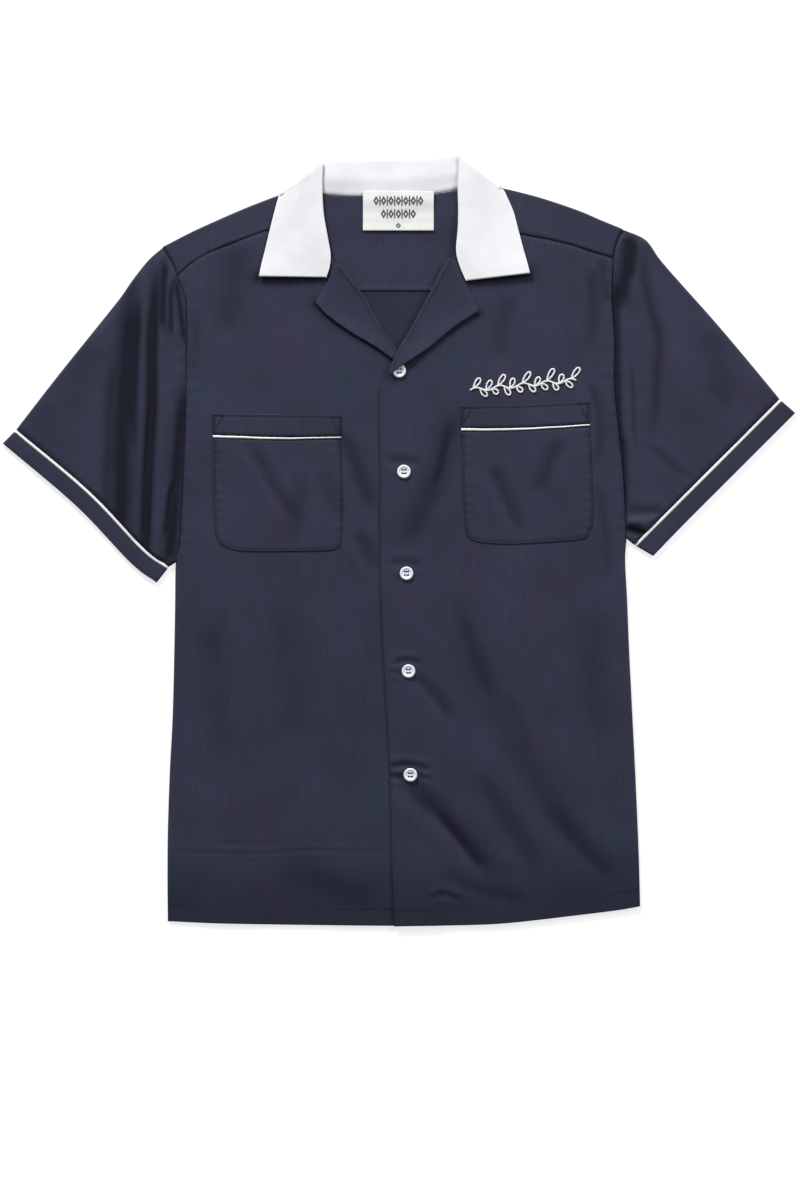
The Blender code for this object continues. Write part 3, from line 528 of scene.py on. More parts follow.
def hemBand(x, y, hem, seed):
    # turned hem: a little higher than the cloth, with a stitched groove and puckers near its top
    off, run, _, _ = nearLine(x, y, lineThrough(hem, 3))
    depth = cloth["hemDepth"]
    raised = 0.3 * (1 - ease(off, depth - 1.2, depth + 0.6)) * roundOff(off, 1.5)
    fromStitch = off - hemStitch
    groove = -0.28 * np.exp(-(fromStitch / 0.9) ** 2)
    ripple = 0.16 * puckers(fromStitch, run, 8, 11, seed)
    return raised + groove + ripple


def seamShade(off, run, strength, width, seed):
    # painted shade along a line of stitches, where the cloth is drawn down into it: a dark bell across it, of
    # uneven strength along it
    uneven = 0.75 + 0.25 * softNoise(run, run * 0, 9, seed)
    return strength * uneven * np.exp(-(np.abs(off) / width) ** 1.5)


def makeFront(side):
    # a patch from hem to yoke seam; it runs on under the lapel's roll to the hidden neck edge, and its open
    # edges are rounded off and rubbed
    cut = outline[side]
    away = 1 if side == "left" else -1
    rollRoom = 3.4
    armhole = [p for p in cut["armhole"] if p[1] <= cut["yokeSeam"][0][1]][::-1]
    outer = cut["side"][::-1] + armhole[1:]
    roll = moved(cut["roll"], rollRoom * away)[::-1]
    neck = moved(cut["underNeck"], rollRoom * away)[1:]
    centre = cut["centre"][:-1] + roll + neck
    hem = cut["hem"] if side == "right" else cut["hem"][::-1]
    top = moved(cut["yokeSeam"], 0, -cloth["seamGap"] / 2)
    top[0], top[-1] = outer[-1], centre[-1]
    us = spacedShares(235, 2.3, edgeSteps)
    vs = spacedShares(660, 2.4, edgeSteps)
    plan = spanEdges(hem, top, outer, centre, us, vs)
    x, y = plan[..., 0], plan[..., 1]
    height = frontHeight(x, y, side) + hemBand(x, y, hem, 21)
    fromOuter, runOuter, _, _ = nearLine(x, y, lineThrough(outer, 3))
    fromTop, runTop, _, _ = nearLine(x, y, lineThrough(top, 3))
    fromCentre, _, _, _ = nearLine(x, y, lineThrough(cut["centre"], 3))
    fromHem, _, _, _ = nearLine(x, y, lineThrough(hem, 3))
    belowArm = 1 - ease(y, -30, -2)
    seamSide = cloth["underFloor"] + (height - cloth["underFloor"]) * roundOff(fromOuter, 3.2)
    armSeam = height - 0.25 * (1 - ease(fromOuter, 0, 2.0)) + 0.3 * puckers(fromOuter, runOuter, 9, 13, 31)
    height = seamSide * belowArm + armSeam * (1 - belowArm)
    height = height - 0.45 * (1 - ease(fromTop, 0, 3.5)) + 0.25 * puckers(fromTop, runTop, 8, 12, 33)
    height = height - 0.7 * (1 - roundOff(fromCentre, 1.3)) + 0.25 * np.exp(-((fromCentre - 3) / 2.5) ** 2)
    worn = np.exp(-fromOuter / 1.5) * belowArm * 0.5 + np.exp(-fromHem / 1.2) * 0.5
    # painted shade: darker in the crease troughs, along the yoke seam, the armhole and the hem stitching,
    # towards the hem and along the centre edge, and painted shadows under the lapel's and the collar's lower
    # edges
    shade = 0.32 * creaseHeight(x, y, frontCreases[side], depthOnly=True)
    shade = shade + seamShade(fromTop, runTop, 0.6, 1.2, 91)
    shade = shade + seamShade(fromOuter, runOuter, 0.55, 1.4, 92) * (1 - belowArm)
    shade = shade + seamShade(fromHem - hemStitch, runTop, 0.35, 0.9, 93)
    shade = shade + 0.34 * (1 - ease(fromHem, 10, 80)) + 0.45 * np.exp(-fromCentre / 1.2)
    under = nearLine(x, y, lineThrough(lapelShape[side]["outer"], 4))[0]
    underCollar = nearLine(x, y, collarEdge[side])[0]
    shade = shade + 0.75 * np.exp(-(under / 4.5) ** 1.3) + 0.88 * np.exp(-(underCollar / 6.5) ** 1.5)
    grid = np.dstack([plan, height])
    piece = clothPiece("front" + side.capitalize(), grid, navyTwill, worn=worn, shade=shade)
    return finishPiece(piece, "navy_twill", "front_" + side), grid


# The back lies on the surface, with a few low folds.

backCreases = [
    # height, half width, lip, path: low folds of the back where it stands off the surface
    (0.45, 9, 0.3, [(-150, 210), (-142, 120), (-120, 20), (-96, -60)]),
    (0.40, 7, 0.3, [(60, 228), (72, 150), (96, 60)]),
    (0.50, 10, 0.3, [(20, 40), (52, -60), (104, -170), (160, -260)]),
    (0.35, 6, 0.3, [(-200, 60), (-186, -40), (-180, -120)]),
    (0.40, 8, 0.3, [(-60, -120), (-84, -220), (-90, -330)]),
    (0.30, 5, 0.3, [(180, 170), (170, 90), (174, 10)]),
    (0.35, 4, 0.4, [(-210, -312), (-90, -316), (60, -312), (200, -306)]),
]


def makeBack():
    # a patch inside the side seams and armholes, turned up a little at both sides under the fronts' edges
    sides = {}
    for side in ("right", "left"):
        armhole = [p for p in outline[side]["armhole"] if p[1] <= 249][::-1]
        sides[side] = outline[side]["side"][::-1] + armhole[1:] + [(armhole[-1][0], 249.7)]
    hem = [(-231, -380.6), (-101, -383), (-5, -383.6), (117, -380.4), (241, -365.6)]
    top = [sides["right"][-1], (0, 249.7), sides["left"][-1]]
    us, vs = spacedShares(450, 4.5, edgeSteps), spacedShares(635, 5.0, edgeSteps)
    plan = spanEdges(hem, top, sides["right"], sides["left"], us, vs)
    x, y = plan[..., 0], plan[..., 1]
    folds = creaseHeight(x, y, backCreases)
    height = backHeight(x, y) - cloth["thickness"] / 2 + folds
    for side in ("right", "left"):
        off, _, _, _ = nearLine(x, y, lineThrough(sides[side], 3))
        height = height + (1 - roundOff(off, 3.0)) * 0.75 * (1 - ease(y, -30, -2))
    fromTop, runTop, _, _ = nearLine(x, y, top)
    height = height + 0.35 * (1 - ease(fromTop, 0, 2.5)) + 0.10 * puckers(fromTop, runTop, 9, 14, 41)
    grid = np.dstack([plan, np.maximum(height, 0.05)])
    fromHem, runHem, _, _ = nearLine(x, y, lineThrough(hem, 3))
    # painted shade along the yoke seam and the hem stitching, and on the back's low folds
    shade = seamShade(fromTop, runTop, 0.35, 1.6, 94) + 0.5 * np.maximum(folds, 0) * (y < 240)
    shade = shade + seamShade(fromHem - hemStitch, runHem, 0.35, 1.6, 102)
    piece = clothPiece("backPanel", grid, navyShadedInside, faces="down", shade=shade)
    return finishPiece(piece, "navy_lining_side", "back"), grid


# The yoke runs from the back seam over both shoulders to the front seams.

backSeamY = 250.0
yokeColumns = [
    # seam x, fold x, fold y, end x, end y, where it ends; a front column's end y is read from the seam itself
    (-212.6, -236, 293, -221.5, 264, "front"), (-196, -209, 307, -207, 0, "front"),
    (-178, -184, 318.5, -184, 0, "front"), (-152, -154, 331.5, -154, 0, "front"),
    (-127, -129, 341, -129, 0, "front"), (-106, -108, 348.5, -101, 0, "front"),
    (-99, -101, 351, -102, 330, "neck"), (-93, -97, 353, -98, 345, "neck"),
    (-84, 0, 0, -87, 350, "back"), (-72, 0, 0, -74, 345.5, "back"), (-54, 0, 0, -55, 343.5, "back"),
    (-27, 0, 0, -27, 343.5, "back"), (0, 0, 0, 0, 344.2, "back"), (27, 0, 0, 27, 345, "back"),
    (50, 0, 0, 50, 348, "back"), (66, 0, 0, 66, 351.5, "back"), (78, 0, 0, 80, 354.5, "back"),
    (86, 90, 356, 91, 347, "neck"), (92, 95, 354.5, 92, 328, "neck"),
    (99, 103, 351.5, 91, 0, "front"), (115, 118, 348, 113, 0, "front"),
    (143, 146, 340.5, 143, 0, "front"), (172, 180, 329, 173, 0, "front"),
    (192, 201, 320, 194, 0, "front"), (212.6, 223, 311, 213, 281.5, "front"),
]


def yokeColumn(row):
    # up the back, half round the shoulder fold and down the front, with its outer face outwards
    seamX, foldX, foldY, endX, endY, ends = row
    side = "right" if seamX < 0 else "left"
    counts = {"back": 30, "arc": 13, "front": 25}
    seam = np.array([seamX, backSeamY - 1.2])
    end = np.array([endX, endY], float)
    if ends == "back":
        plan = seam + (end - seam) * np.linspace(0, 1, sum(counts.values()))[:, None]
        return np.column_stack([plan, backHeight(plan[:, 0], plan[:, 1]) - cloth["thickness"] / 2])
    if ends == "front":
        line = lineThrough(outline[side]["yokeSeam"])
        order = np.argsort(line[:, 0])
        end[1] = np.interp(end[0], line[order, 0], line[order, 1]) + cloth["seamGap"]
    fold = np.array([foldX, foldY])
    low = float(backHeight(*fold)) - cloth["thickness"] / 2
    high = float(shoulderHeight(*fold)) + cloth["thickness"] / 2
    radius, middle = (high - low) / 2, (high + low) / 2
    reach = (fold - seam) / np.linalg.norm(fold - seam)
    centre = fold - reach * radius
    back = seam + (centre - seam) * np.linspace(0, 1, counts["back"], endpoint=False)[:, None]
    turn = np.linspace(-90, 90, counts["arc"]) * math.pi / 180
    arc = centre + reach * radius * np.cos(turn)[:, None]
    start = centre + 0.04 * (end - centre)
    front = start + (end - start) * np.linspace(0, 1, counts["front"])[:, None]
    if abs(seamX) > 212:
        line = lineThrough(outline[side]["armhole"])[::-1]
        back[:, 0] = np.interp(back[:, 1], line[:, 1], line[:, 0])
        front[:, 0] = np.interp(front[:, 1], line[:, 1], line[:, 0])
    heights = np.concatenate([
        backHeight(back[:, 0], back[:, 1]) - cloth["thickness"] / 2,
        middle + radius * np.sin(turn),
        shoulderHeight(front[:, 0], front[:, 1]) + cloth["thickness"] / 2,
    ])
    return np.column_stack([np.vstack([back, arc, front]), heights])


def makeYoke():
    # the columns of the table, then a smooth line through each set of matching points across them
    coarse = np.stack([yokeColumn(row) for row in yokeColumns])
    grid = lineThrough(coarse.reshape(len(coarse), -1), 7).reshape(-1, *coarse.shape[1:])
    x, y = grid[..., 0], grid[..., 1]
    overBack = 1 - ease(y, backSeamY, backSeamY + 4.0)
    onBack = (np.arange(grid.shape[1]) < 34)[None, :]
    grid[..., 2] += overBack * onBack * 0.6
    onFront = np.zeros(grid.shape[:2])
    onFront[:, 36:] = 1
    fromEnd = np.linalg.norm(grid - grid[:, -1:], axis=-1)
    overShoulder = (grid[:, -1, 2] > 3.0)[:, None]
    waves = 0.5 * softNoise(x, y, 40, 11) + 0.2 * softNoise(x, y, 16, 12)
    run = np.abs(x)
    change = onFront * overShoulder * (waves * ease(fromEnd, 0, 6) - 0.8 * (1 - ease(fromEnd, 0, 2.6))
                                       + 0.2 * puckers(fromEnd, run, 8, 12, 33))
    grid[..., 2] += change
    grid[..., 2] = np.maximum(grid[..., 2], 0.05)
    # painted shade along the yoke's seams on the fronts and along its lower edge over the back
    shade = onFront * overShoulder * seamShade(fromEnd, run, 0.6, 1.0, 95) + 0.35 * overBack * onBack
    piece = clothPiece("yokePanel", grid, navyTwill, thickness=0.5, faces="away", shade=shade)
    return finishPiece(piece, "navy_lining_side", "yoke"), grid


frontRight, frontRightGrid = makeFront("right")
frontLeft, frontLeftGrid = makeFront("left")
back, backGrid = makeBack()
yoke, yokeGrid = makeYoke()
print("fronts, back and yoke made")

# Each sleeve, its piping and its cuff are flattened tubes.

sleeveCreases = {
    # height, half width, lip, path
    "right": [
        (-2.0, 10, 0.35, [(-262, 276), (-266, 240), (-270, 204), (-275, 132), (-277, 84), (-277, 40),
                          (-282, -50)]),
        (-1.0, 4, 0.5, [(-258, 250), (-262, 200), (-265, 130), (-264, 70)]),
        (-0.8, 5, 0.5, [(-284, 190), (-290, 130), (-292, 60), (-296, 0)]),
        (-3.0, 5, 0.5, [(-240, 292), (-241, 278), (-245, 228), (-247, 180), (-247, 132), (-250, 84),
                        (-252, 36), (-256, -70)]),
        (-2.0, 3.2, 0.5, [(-235, 284), (-234, 269), (-235.5, 240), (-236, 200)]),
        (-1.7, 2.6, 0.4, [(-227, 262), (-228, 228), (-227, 196)]),
        (-2.0, 2.8, 0.4, [(-224, 268), (-222, 254), (-218.5, 228), (-214, 187)]),
        (-2.2, 6, 0.5, [(-214, 170), (-217, 132), (-221, 84), (-224.5, 36), (-234, -70)]),
        (-1.2, 2.6, 0.5, [(-226, 60), (-230, 30), (-234, -4)]),
        (1.1, 6, 0.2, [(-255, 262), (-255, 190), (-255, 110), (-256, 16)]),
        (1.0, 6, 0.2, [(-235, 170), (-235, 130), (-236, 90), (-240, 10)]),
        (-0.4, 16, 0.3, [(-300, 200), (-318, 150), (-330, 110)]),
        (-0.3, 12, 0.3, [(-350, 140), (-352, 115), (-350, 84)]),
        (0.8, 3, 0.3, [(-231, 262), (-231, 236), (-231, 205)]),
    ],
    "left": [
        (-2.0, 7.5, 0.5, [(231, 316), (229, 290), (226, 262), (221, 220)]),
        (-1.0, 3, 0.5, [(236, 300), (235, 280), (232, 255)]),
        (-2.2, 4.5, 0.4, [(217, 272), (216, 224), (217, 171), (218, 120), (222, 60)]),
        (-1.4, 5, 0.4, [(221, 110), (223, 80), (226, 20)]),
        (-1.0, 6, 0.4, [(240, 300), (242.5, 284), (246, 255), (253, 224), (260, 195), (258, 166), (256, 123),
                        (248, 84)]),
        (-0.5, 5, 0.5, [(248, 96), (262, 82), (292, 58)]),
        (-0.6, 5, 0.5, [(224, 30), (240, 29), (268, 28)]),
        (-0.7, 2.6, 0.5, [(232, 180), (234, 130), (236, 80)]),
        (1.0, 4, 0.3, [(232, 20), (246, 19), (262, 22)]),
        (-2.8, 4, 0.5, [(224, 12), (234, 9), (250, 4)]),
        (0.9, 10, 0.2, [(238, 230), (238, 190), (240, 140)]),
        (-0.5, 14, 0.3, [(306, 214), (318, 170), (330, 120)]),
        (0.9, 14, 0.2, [(276, 200), (284, 150), (300, 110)]),
    ],
}
sleeve = {"low": 0.12, "top": 3.8, "fullness": 0.9, "floor": 1.5, "pipingWidth": 3.2, "cuffWall": 0.9,
          "above": 128, "below": 50}


def flatTube(lines, low, topHeight, above, below, fold=7):
    # rings of a flattened tube between plan lines that run from its upper fold to its under-arm fold: along
    # the top at topHeight, a half circle at each fold, and back along the bottom at the low level
    arc = np.linspace(90, -90, fold + 2)[1:-1] * math.pi / 180
    rings = []
    for plan in lines:
        length = np.linalg.norm(np.diff(plan, axis=0), axis=1).sum()
        radius = (float(np.median(topHeight(plan[:, 0], plan[:, 1]))) - low) / 2
        inset = radius / length
        shares = np.linspace(inset, 1 - inset, above)
        top = alongLine(plan, shares)
        fade = ease(shares * length, 1.5, 9) * ease((1 - shares) * length, 1.5, 9)
        topZ = low + 2 * radius + (topHeight(top[:, 0], top[:, 1]) - low - 2 * radius) * fade
        out = inset * np.cos(arc)
        far, near = alongLine(plan, 1 - inset + out), alongLine(plan, inset - out)
        under = alongLine(plan, np.linspace(1 - inset, inset, below))
        turnZ = low + radius + radius * np.sin(arc)
        rings.append(np.vstack([
            np.column_stack([top, topZ]), np.column_stack([far, turnZ]),
            np.column_stack([under, np.full(below, low)]), np.column_stack([near, turnZ[::-1]]),
        ]))
    return np.stack(rings)


def stepOut(line, other, distance):
    # a line moved towards the other one by this distance, point by point
    line, other = np.asarray(line, float), np.asarray(other, float)
    reach = other - line
    return line + reach / np.linalg.norm(reach, axis=-1, keepdims=True) * distance


def makeSleeve(side):
    # three tubes end to end: the sleeve from the armhole, a piping, and the cuff, each a patch of plan lines
    # that flatTube closes; the sleeve's top sinks to both its seams
    cut = outline[side]
    out = 1 if side == "left" else -1
    spread = np.linspace(0, 1, 60)
    sleeveEnd = alongLine(lineThrough(cut["sleeveEnd"]), spread)
    cuffEnd = alongLine(lineThrough(cut["cuffEnd"]), spread)
    bodyEnd = stepOut(sleeveEnd, cuffEnd, -sleeve["pipingWidth"] / 2)
    armhole = moved(cut["armhole"], -0.9 * out)
    top = [armhole[0]] + cut["sleeveTop"][1:-1] + [tuple(bodyEnd[0])]
    under = [armhole[-1], tuple(bodyEnd[-1])]
    us = spacedShares(190, 2.3, edgeSteps)
    plan = spanEdges(top, under, armhole, bodyEnd, us, spread)
    seamLine, endLine = lineThrough(armhole, 3), bodyEnd[::3]

    def topHeight(x, y):
        height = sleeve["top"] + sleeve["fullness"] + creaseHeight(x, y, sleeveCreases[side])
        height = height + 0.45 * softNoise(x, y * 0.4, 42, 51) + 0.28 * softNoise(x, y * 0.2, 12, 52)
        off, run, _, _ = nearLine(x, y, seamLine)
        height = height + 0.4 * puckers(off, run, 10, 14, 53)
        height = height + (2.4 - height) * (1 - ease(off, 0.4, 5.0))
        off, run, _, _ = nearLine(x, y, endLine)
        height = height + 0.3 * puckers(off, run, 8, 11, 55)
        height = height + (sleeve["top"] - 0.9 - height) * (1 - ease(off, 0, 4.0))
        return sleeve["floor"] + np.logaddexp(0, (height - sleeve["floor"]) * 3) / 3

    grid = flatTube(plan, sleeve["low"], topHeight, sleeve["above"], sleeve["below"])
    x, y = grid[..., 0], grid[..., 1]
    onTop = (np.arange(grid.shape[1]) < sleeve["above"] + 3)[None, :]
    off, run, _, _ = nearLine(x, y, seamLine)
    offEnd, runEnd, _, _ = nearLine(x, y, endLine)
    # painted shade on the top only: darker in the crease troughs, along the armhole seam and along the seam
    # at the piping
    shade = 0.50 * creaseHeight(x, y, sleeveCreases[side], depthOnly=True) + seamShade(off, run, 0.5, 3.2, 96)
    shade = onTop * (shade + seamShade(offEnd, runEnd, 0.45, 1.2, 97))
    axis = (-0.72, -0.69) if side == "right" else (0.70, -0.71)
    along, across = x * axis[0] + y * axis[1], x * axis[1] - y * axis[0]
    body = clothPiece("sleeve" + side.capitalize(), grid, navyTwill, ring=True, faces="away",
                      uv=np.dstack([across, along]), shade=shade)
    finishPiece(body, "navy_twill", "sleeve_" + side)

    def level(x, y):
        return np.full_like(x, sleeve["top"] - 0.2) + 0.3 * softNoise(x, y, 30, 57)

    # piping: a filled cord in a bias strip, its section a half ellipse over the tube's own level
    shares = np.linspace(0, 1, 9)
    half = sleeve["pipingWidth"] / 2 - 0.12
    lines = [stepOut(sleeveEnd, cuffEnd, (2 * s - 1) * half) for s in shares]
    cord = flatTube(lines, 0.35, level, sleeve["above"], sleeve["below"])
    crown = np.sqrt(np.clip(1 - (2 * shares - 1) ** 2, 0.0, 1))[:, None]
    middle = (cord[..., 2].max() + cord[..., 2].min()) / 2
    cord[..., 2] = middle + (cord[..., 2] - middle) * (0.55 + 0.55 * crown)
    rib = np.sin(np.arange(cord.shape[1]) * 2.1)[None, :] * 0.10 * crown
    cord[..., 2] += rib * np.sign(cord[..., 2] - middle)
    cord[..., 2] = np.maximum(cord[..., 2], 0.05)
    along = np.linspace(0, 400, cord.shape[1])[None, :] + 0 * cord[..., 0]
    piping = clothPiece("cuffPiping" + side.capitalize(), cord, whitePiping, ring=True, faces="away",
                        thickness=0.5, uv=np.dstack([along, shares[:, None] * 3.0 + 0 * along]))
    finishPiece(piping, "white_piping", "cuff_piping_" + side)

    first = stepOut(sleeveEnd, cuffEnd, sleeve["pipingWidth"] / 2)
    steps = spacedShares(18.5, 2.0, [0, 0.3, 0.8, 1.6])
    bands = [first + (cuffEnd - first) * t for t in steps]

    def cuffLevel(x, y):
        offIn, run, _, _ = nearLine(x, y, first[::3])
        offOut, _, _, _ = nearLine(x, y, cuffEnd[::3])
        dome = 0.5 * np.sqrt(np.clip(np.minimum(offIn, offOut) / 4, 0, 1))
        uneven = 0.3 * softNoise(x, y, 40, 58) + 0.1 * puckers(offIn, run, 6, 12, 59)
        return sleeve["top"] - 0.4 + dome + uneven

    ring = flatTube(bands, 0.25, cuffLevel, sleeve["above"], sleeve["below"])
    worn = np.zeros(ring.shape[:2])
    worn[-3:] = np.array([0.2, 0.5, 0.8])[:, None]
    # painted shade on the cuff's first bands, beside the piping
    shade = np.zeros(ring.shape[:2])
    shade[:4] = np.array([0.5, 0.4, 0.2, 0.1])[:, None]
    x, y = ring[..., 0], ring[..., 1]
    along, across = x * axis[0] + y * axis[1], x * axis[1] - y * axis[0]
    cuff = clothPiece("cuff" + side.capitalize(), ring, navyTwill, ring=True, faces="away",
                      thickness=sleeve["cuffWall"], uv=np.dstack([along, across]), worn=worn, shade=shade)
    finishPiece(cuff, "navy_twill", "cuff_" + side)
    return body, grid, piping, cuff, ring


sleeveRight, sleeveRightGrid, cuffPipingRight, cuffRight, cuffRightGrid = makeSleeve("right")
sleeveLeft, sleeveLeftGrid, cuffPipingLeft, cuffLeft, cuffLeftGrid = makeSleeve("left")
print("sleeves, piping and cuffs made")

# The lapels are the facings where they roll out over the fronts.

def overButton(x, y):
    # the left lapel's tip rests on the top button
    away = np.hypot(x - buttonPlaces[0][0], y - buttonPlaces[0][1])
    return 1.6 * (1 - ease(away, 13, 40))


def makeLapel(side):
    # a half round roll along the fold line, then out over the front to a rounded free edge
    cut = lapelShape[side]
    radius = lapelShape["rollRadius"]
    us = spacedShares(125, 2.0, [0, 0.3, 0.8, 1.6])
    vs = spacedShares(32, 1.8, [0.8, 1.6, 2.6])
    plan = spanEdges(outline[side]["roll"], cut["outer"], cut["notch"], cut["tip"], us, vs)
    x, y = plan[..., 0], plan[..., 1]
    rest = frontHeight(x, y, side) + lapelShape["lift"]
    if side == "left":
        rest = rest + overButton(x, y)
    outer = lineThrough(cut["outer"], 4)
    notch = lineThrough(cut["notch"], 4)
    roll = lineThrough(outline[side]["roll"], 4)
    offEdge, run, _, _ = nearLine(x, y, outer)
    offNotch, _, _, _ = nearLine(x, y, notch)
    offRoll, runRoll, _, _ = nearLine(x, y, roll)
    nearEdge = np.minimum(offEdge, offNotch)
    rest = rest + 0.9 * np.exp(-(offRoll / 9) ** 2) + 0.22 * puckers(offEdge, run, 6, 13, 61)
    rest = rest + 1.1 * np.exp(-(offEdge / 9) ** 2)
    rest = rest - 0.5 * (1 - roundOff(nearEdge, 1.2))
    rest = rest - 0.22 * np.exp(-((offRoll - 3.2) / 0.8) ** 2)
    outward = plan[:, -1] - plan[:, 0]
    outward = outward / np.maximum(np.linalg.norm(outward, axis=-1, keepdims=True), 1e-6)
    base = alongLine(lineThrough(outline[side]["roll"]), us)
    baseRest = rest[:, 0]
    turn = np.linspace(-85, 80, 9) * math.pi / 180
    arc = np.stack([np.column_stack([
        base + outward * radius * (1 - math.cos(a)), baseRest + radius * (math.sin(a) - 1)])
        for a in turn], axis=1)
    flat = np.dstack([plan, rest])
    grid = np.concatenate([arc, flat], axis=1)
    worn = np.zeros(grid.shape[:2])
    worn[:, 3:8] = 0.12
    worn[:, 9:] = np.exp(-nearEdge / 1.0) * 0.2
    # painted shade along the roll's stitch groove and on the lower half of the roll
    shade = np.zeros(grid.shape[:2])
    shade[:, 9:] = seamShade(offRoll - 3.2, runRoll, 0.4, 0.9, 98)
    shade[:, :3] = 0.5
    piece = clothPiece("lapel" + side.capitalize(), grid, navyTwill, worn=worn, shade=shade, thickness=0.5)
    return finishPiece(piece, "navy_twill", "lapel_" + side), grid


lapelRight, lapelRightGrid = makeLapel("right")
lapelLeft, lapelLeftGrid = makeLapel("left")
print("lapels made")

# The collar's leaves, its stand inside the neck, and the label.

collarShape = {
    # roll x, roll y, edge x, edge y, turn (+1 on the fronts, -1 under the back), roll radius, edge's lift
    "rows": [
        (-72.5, 262, -139.8, 262.6, 1, 0.3, 1.6), (-69.2, 272, -137, 276, 1, 0.3, 1.2),
        (-68.2, 285, -133, 292, 1, 0.3, 0.8), (-71.5, 305, -129, 309, 1, 1.5, 0.4),
        (-75, 326, -125, 325, 1, 1.5, 0.1), (-76.3, 348, -121.5, 338, 1, 1.4, 0.0),
        (-76.3, 364, -119.7, 344, 1, 0.9, 0.0), (-75.7, 376, -118.5, 344.5, 1, 0.3, 0.0),
        (-75.7, 376, -118.5, 344.5, 0.5, 0.3, 0.0), (-75.7, 376, -118.5, 344.5, 0, 0.3, 0.0),
        (-75.7, 376, -118.5, 344.5, -0.5, 0.3, 0.0), (-75.7, 376, -118.5, 344.5, -1, 0.3, 0.0),
        (-70, 380.5, -108, 341, -1, 0.9, 0.0), (-60, 381.3, -84, 337, -1, 1.4, 0.0),
        (-45, 381.4, -58, 334.5, -1, 1.5, 0.0), (-22, 381.5, -28, 333, -1, 1.5, 0.0),
        (0, 382, 0, 333, -1, 1.5, 0.0), (22, 382.6, 26, 334, -1, 1.5, 0.0),
        (38, 383.8, 50, 336.5, -1, 1.4, 0.0), (49, 385.2, 72, 340.5, -1, 1.3, 0.0),
        (55, 385.9, 92, 346, -1, 0.9, 0.0), (60, 382.3, 101, 351, -1, 0.3, 0.0),
        (60, 382.3, 101, 351, -0.5, 0.3, 0.0), (60, 382.3, 101, 351, 0, 0.3, 0.0),
        (60, 382.3, 101, 351, 0.5, 0.3, 0.0), (60, 382.3, 101, 351, 1, 0.3, 0.0),
        (59.5, 367, 104.5, 349, 1, 0.9, 0.0), (58.5, 350, 108.5, 341, 1, 1.4, 0.0),
        (59, 330, 114.5, 327, 1, 1.5, 0.1), (58.5, 310, 119.5, 308, 1, 1.5, 0.4),
        (57, 288, 124.5, 289, 1, 0.3, 0.8), (61, 272, 128, 277, 1, 0.3, 1.2),
        (66.8, 258.5, 130.7, 266, 1, 0.3, 1.6),
    ],
    "low": 0.75, "high": 7.3, "thickness": 0.9,
}


def makeCollar():
    # each row: a half round roll, then the leaf out to its free edge with a soft crown; the rows turn over
    # both shoulder folds, and a smooth line through matching points makes the rows between
    low, high = collarShape["low"], collarShape["high"]
    radius = (high - low) / 2
    turnSteps = np.linspace(-90, 75, 8) * math.pi / 180
    shares = spacedShares(55, 1.9, [0, 0.4, 1.0, 2.0])
    coarse = []
    for rollX, rollY, edgeX, edgeY, turn, r, edgeUp in collarShape["rows"]:
        roll, edge = np.array([rollX, rollY]), np.array([edgeX, edgeY])
        run = (edge - roll) / np.linalg.norm(edge - roll)
        outward = np.array([run[1], -run[0]])
        outward = outward * np.sign(outward @ (roll + edge) * 0.5 - outward @ np.array([0, 200]))
        angle = turn * math.pi / 2
        face = np.append(outward * math.cos(angle), math.sin(angle))
        base = (low + high) / 2 + radius * math.sin(angle)
        shift = outward * radius * math.cos(angle)
        start, reach = np.append(roll + shift, base), np.append(run, 0.0)
        arc = [start + reach * r * (1 - math.cos(a)) + face * r * (math.sin(a) - 1) for a in turnSteps]
        finish = np.append(edge + shift, base + edgeUp)
        leaf = arc[-1] + (finish - arc[-1]) * shares[1:, None]
        onTop = max(turn, 0.0)
        length = np.linalg.norm(edge - roll)
        leaf = leaf + face * (0.55 * np.sin(math.pi * shares[1:]) * onTop)[:, None]
        edgeDrop = 0.45 * (1 - roundOff((1 - shares[1:]) * length, 1.3))
        leaf = leaf - face * edgeDrop[:, None]
        coarse.append(np.vstack([arc, leaf]))
    coarse = np.stack(coarse)
    grid = lineThrough(coarse.reshape(len(coarse), -1), 8).reshape(-1, *coarse.shape[1:])
    onTop = ease(grid[..., 2], 5.5, 6.6)
    x, y = grid[..., 0], grid[..., 1]
    grid[..., 2] += onTop * (0.25 * softNoise(x, y, 34, 71) + 0.10 * softNoise(x, y, 13, 72))
    grid[..., 2] = np.maximum(grid[..., 2], 0.25)
    distance = np.cumsum(np.linalg.norm(np.diff(grid[:, -1], axis=0), axis=-1))
    along = np.concatenate([[0], distance])[:, None] + 0 * x
    across = np.concatenate([np.linspace(-3, 0, 8), shares[1:] * 55])[None, :] + 0 * x
    piece = clothPiece("collarLeaves", grid, whitePoplin, faces="away", thickness=collarShape["thickness"],
                       uv=np.dstack([along, across]))
    return finishPiece(piece, "white_poplin", "collar"), grid


standShape = {
    # the edge over the collar's roll, the seam at the neck, and the finished width and depth
    "width": 138, "depth": 37,
    "roll": [(-77.5, 378.5), (-71, 380.4), (-56, 381.0), (0, 381.7), (31, 382.5), (50, 385.0), (56, 384.8),
             (60.5, 381.4)],
    "neck": [(-77.5, 346.5), (-55, 344.5), (-36, 344), (0, 345.2), (34, 346.8), (54.5, 350.5), (62, 352)],
}


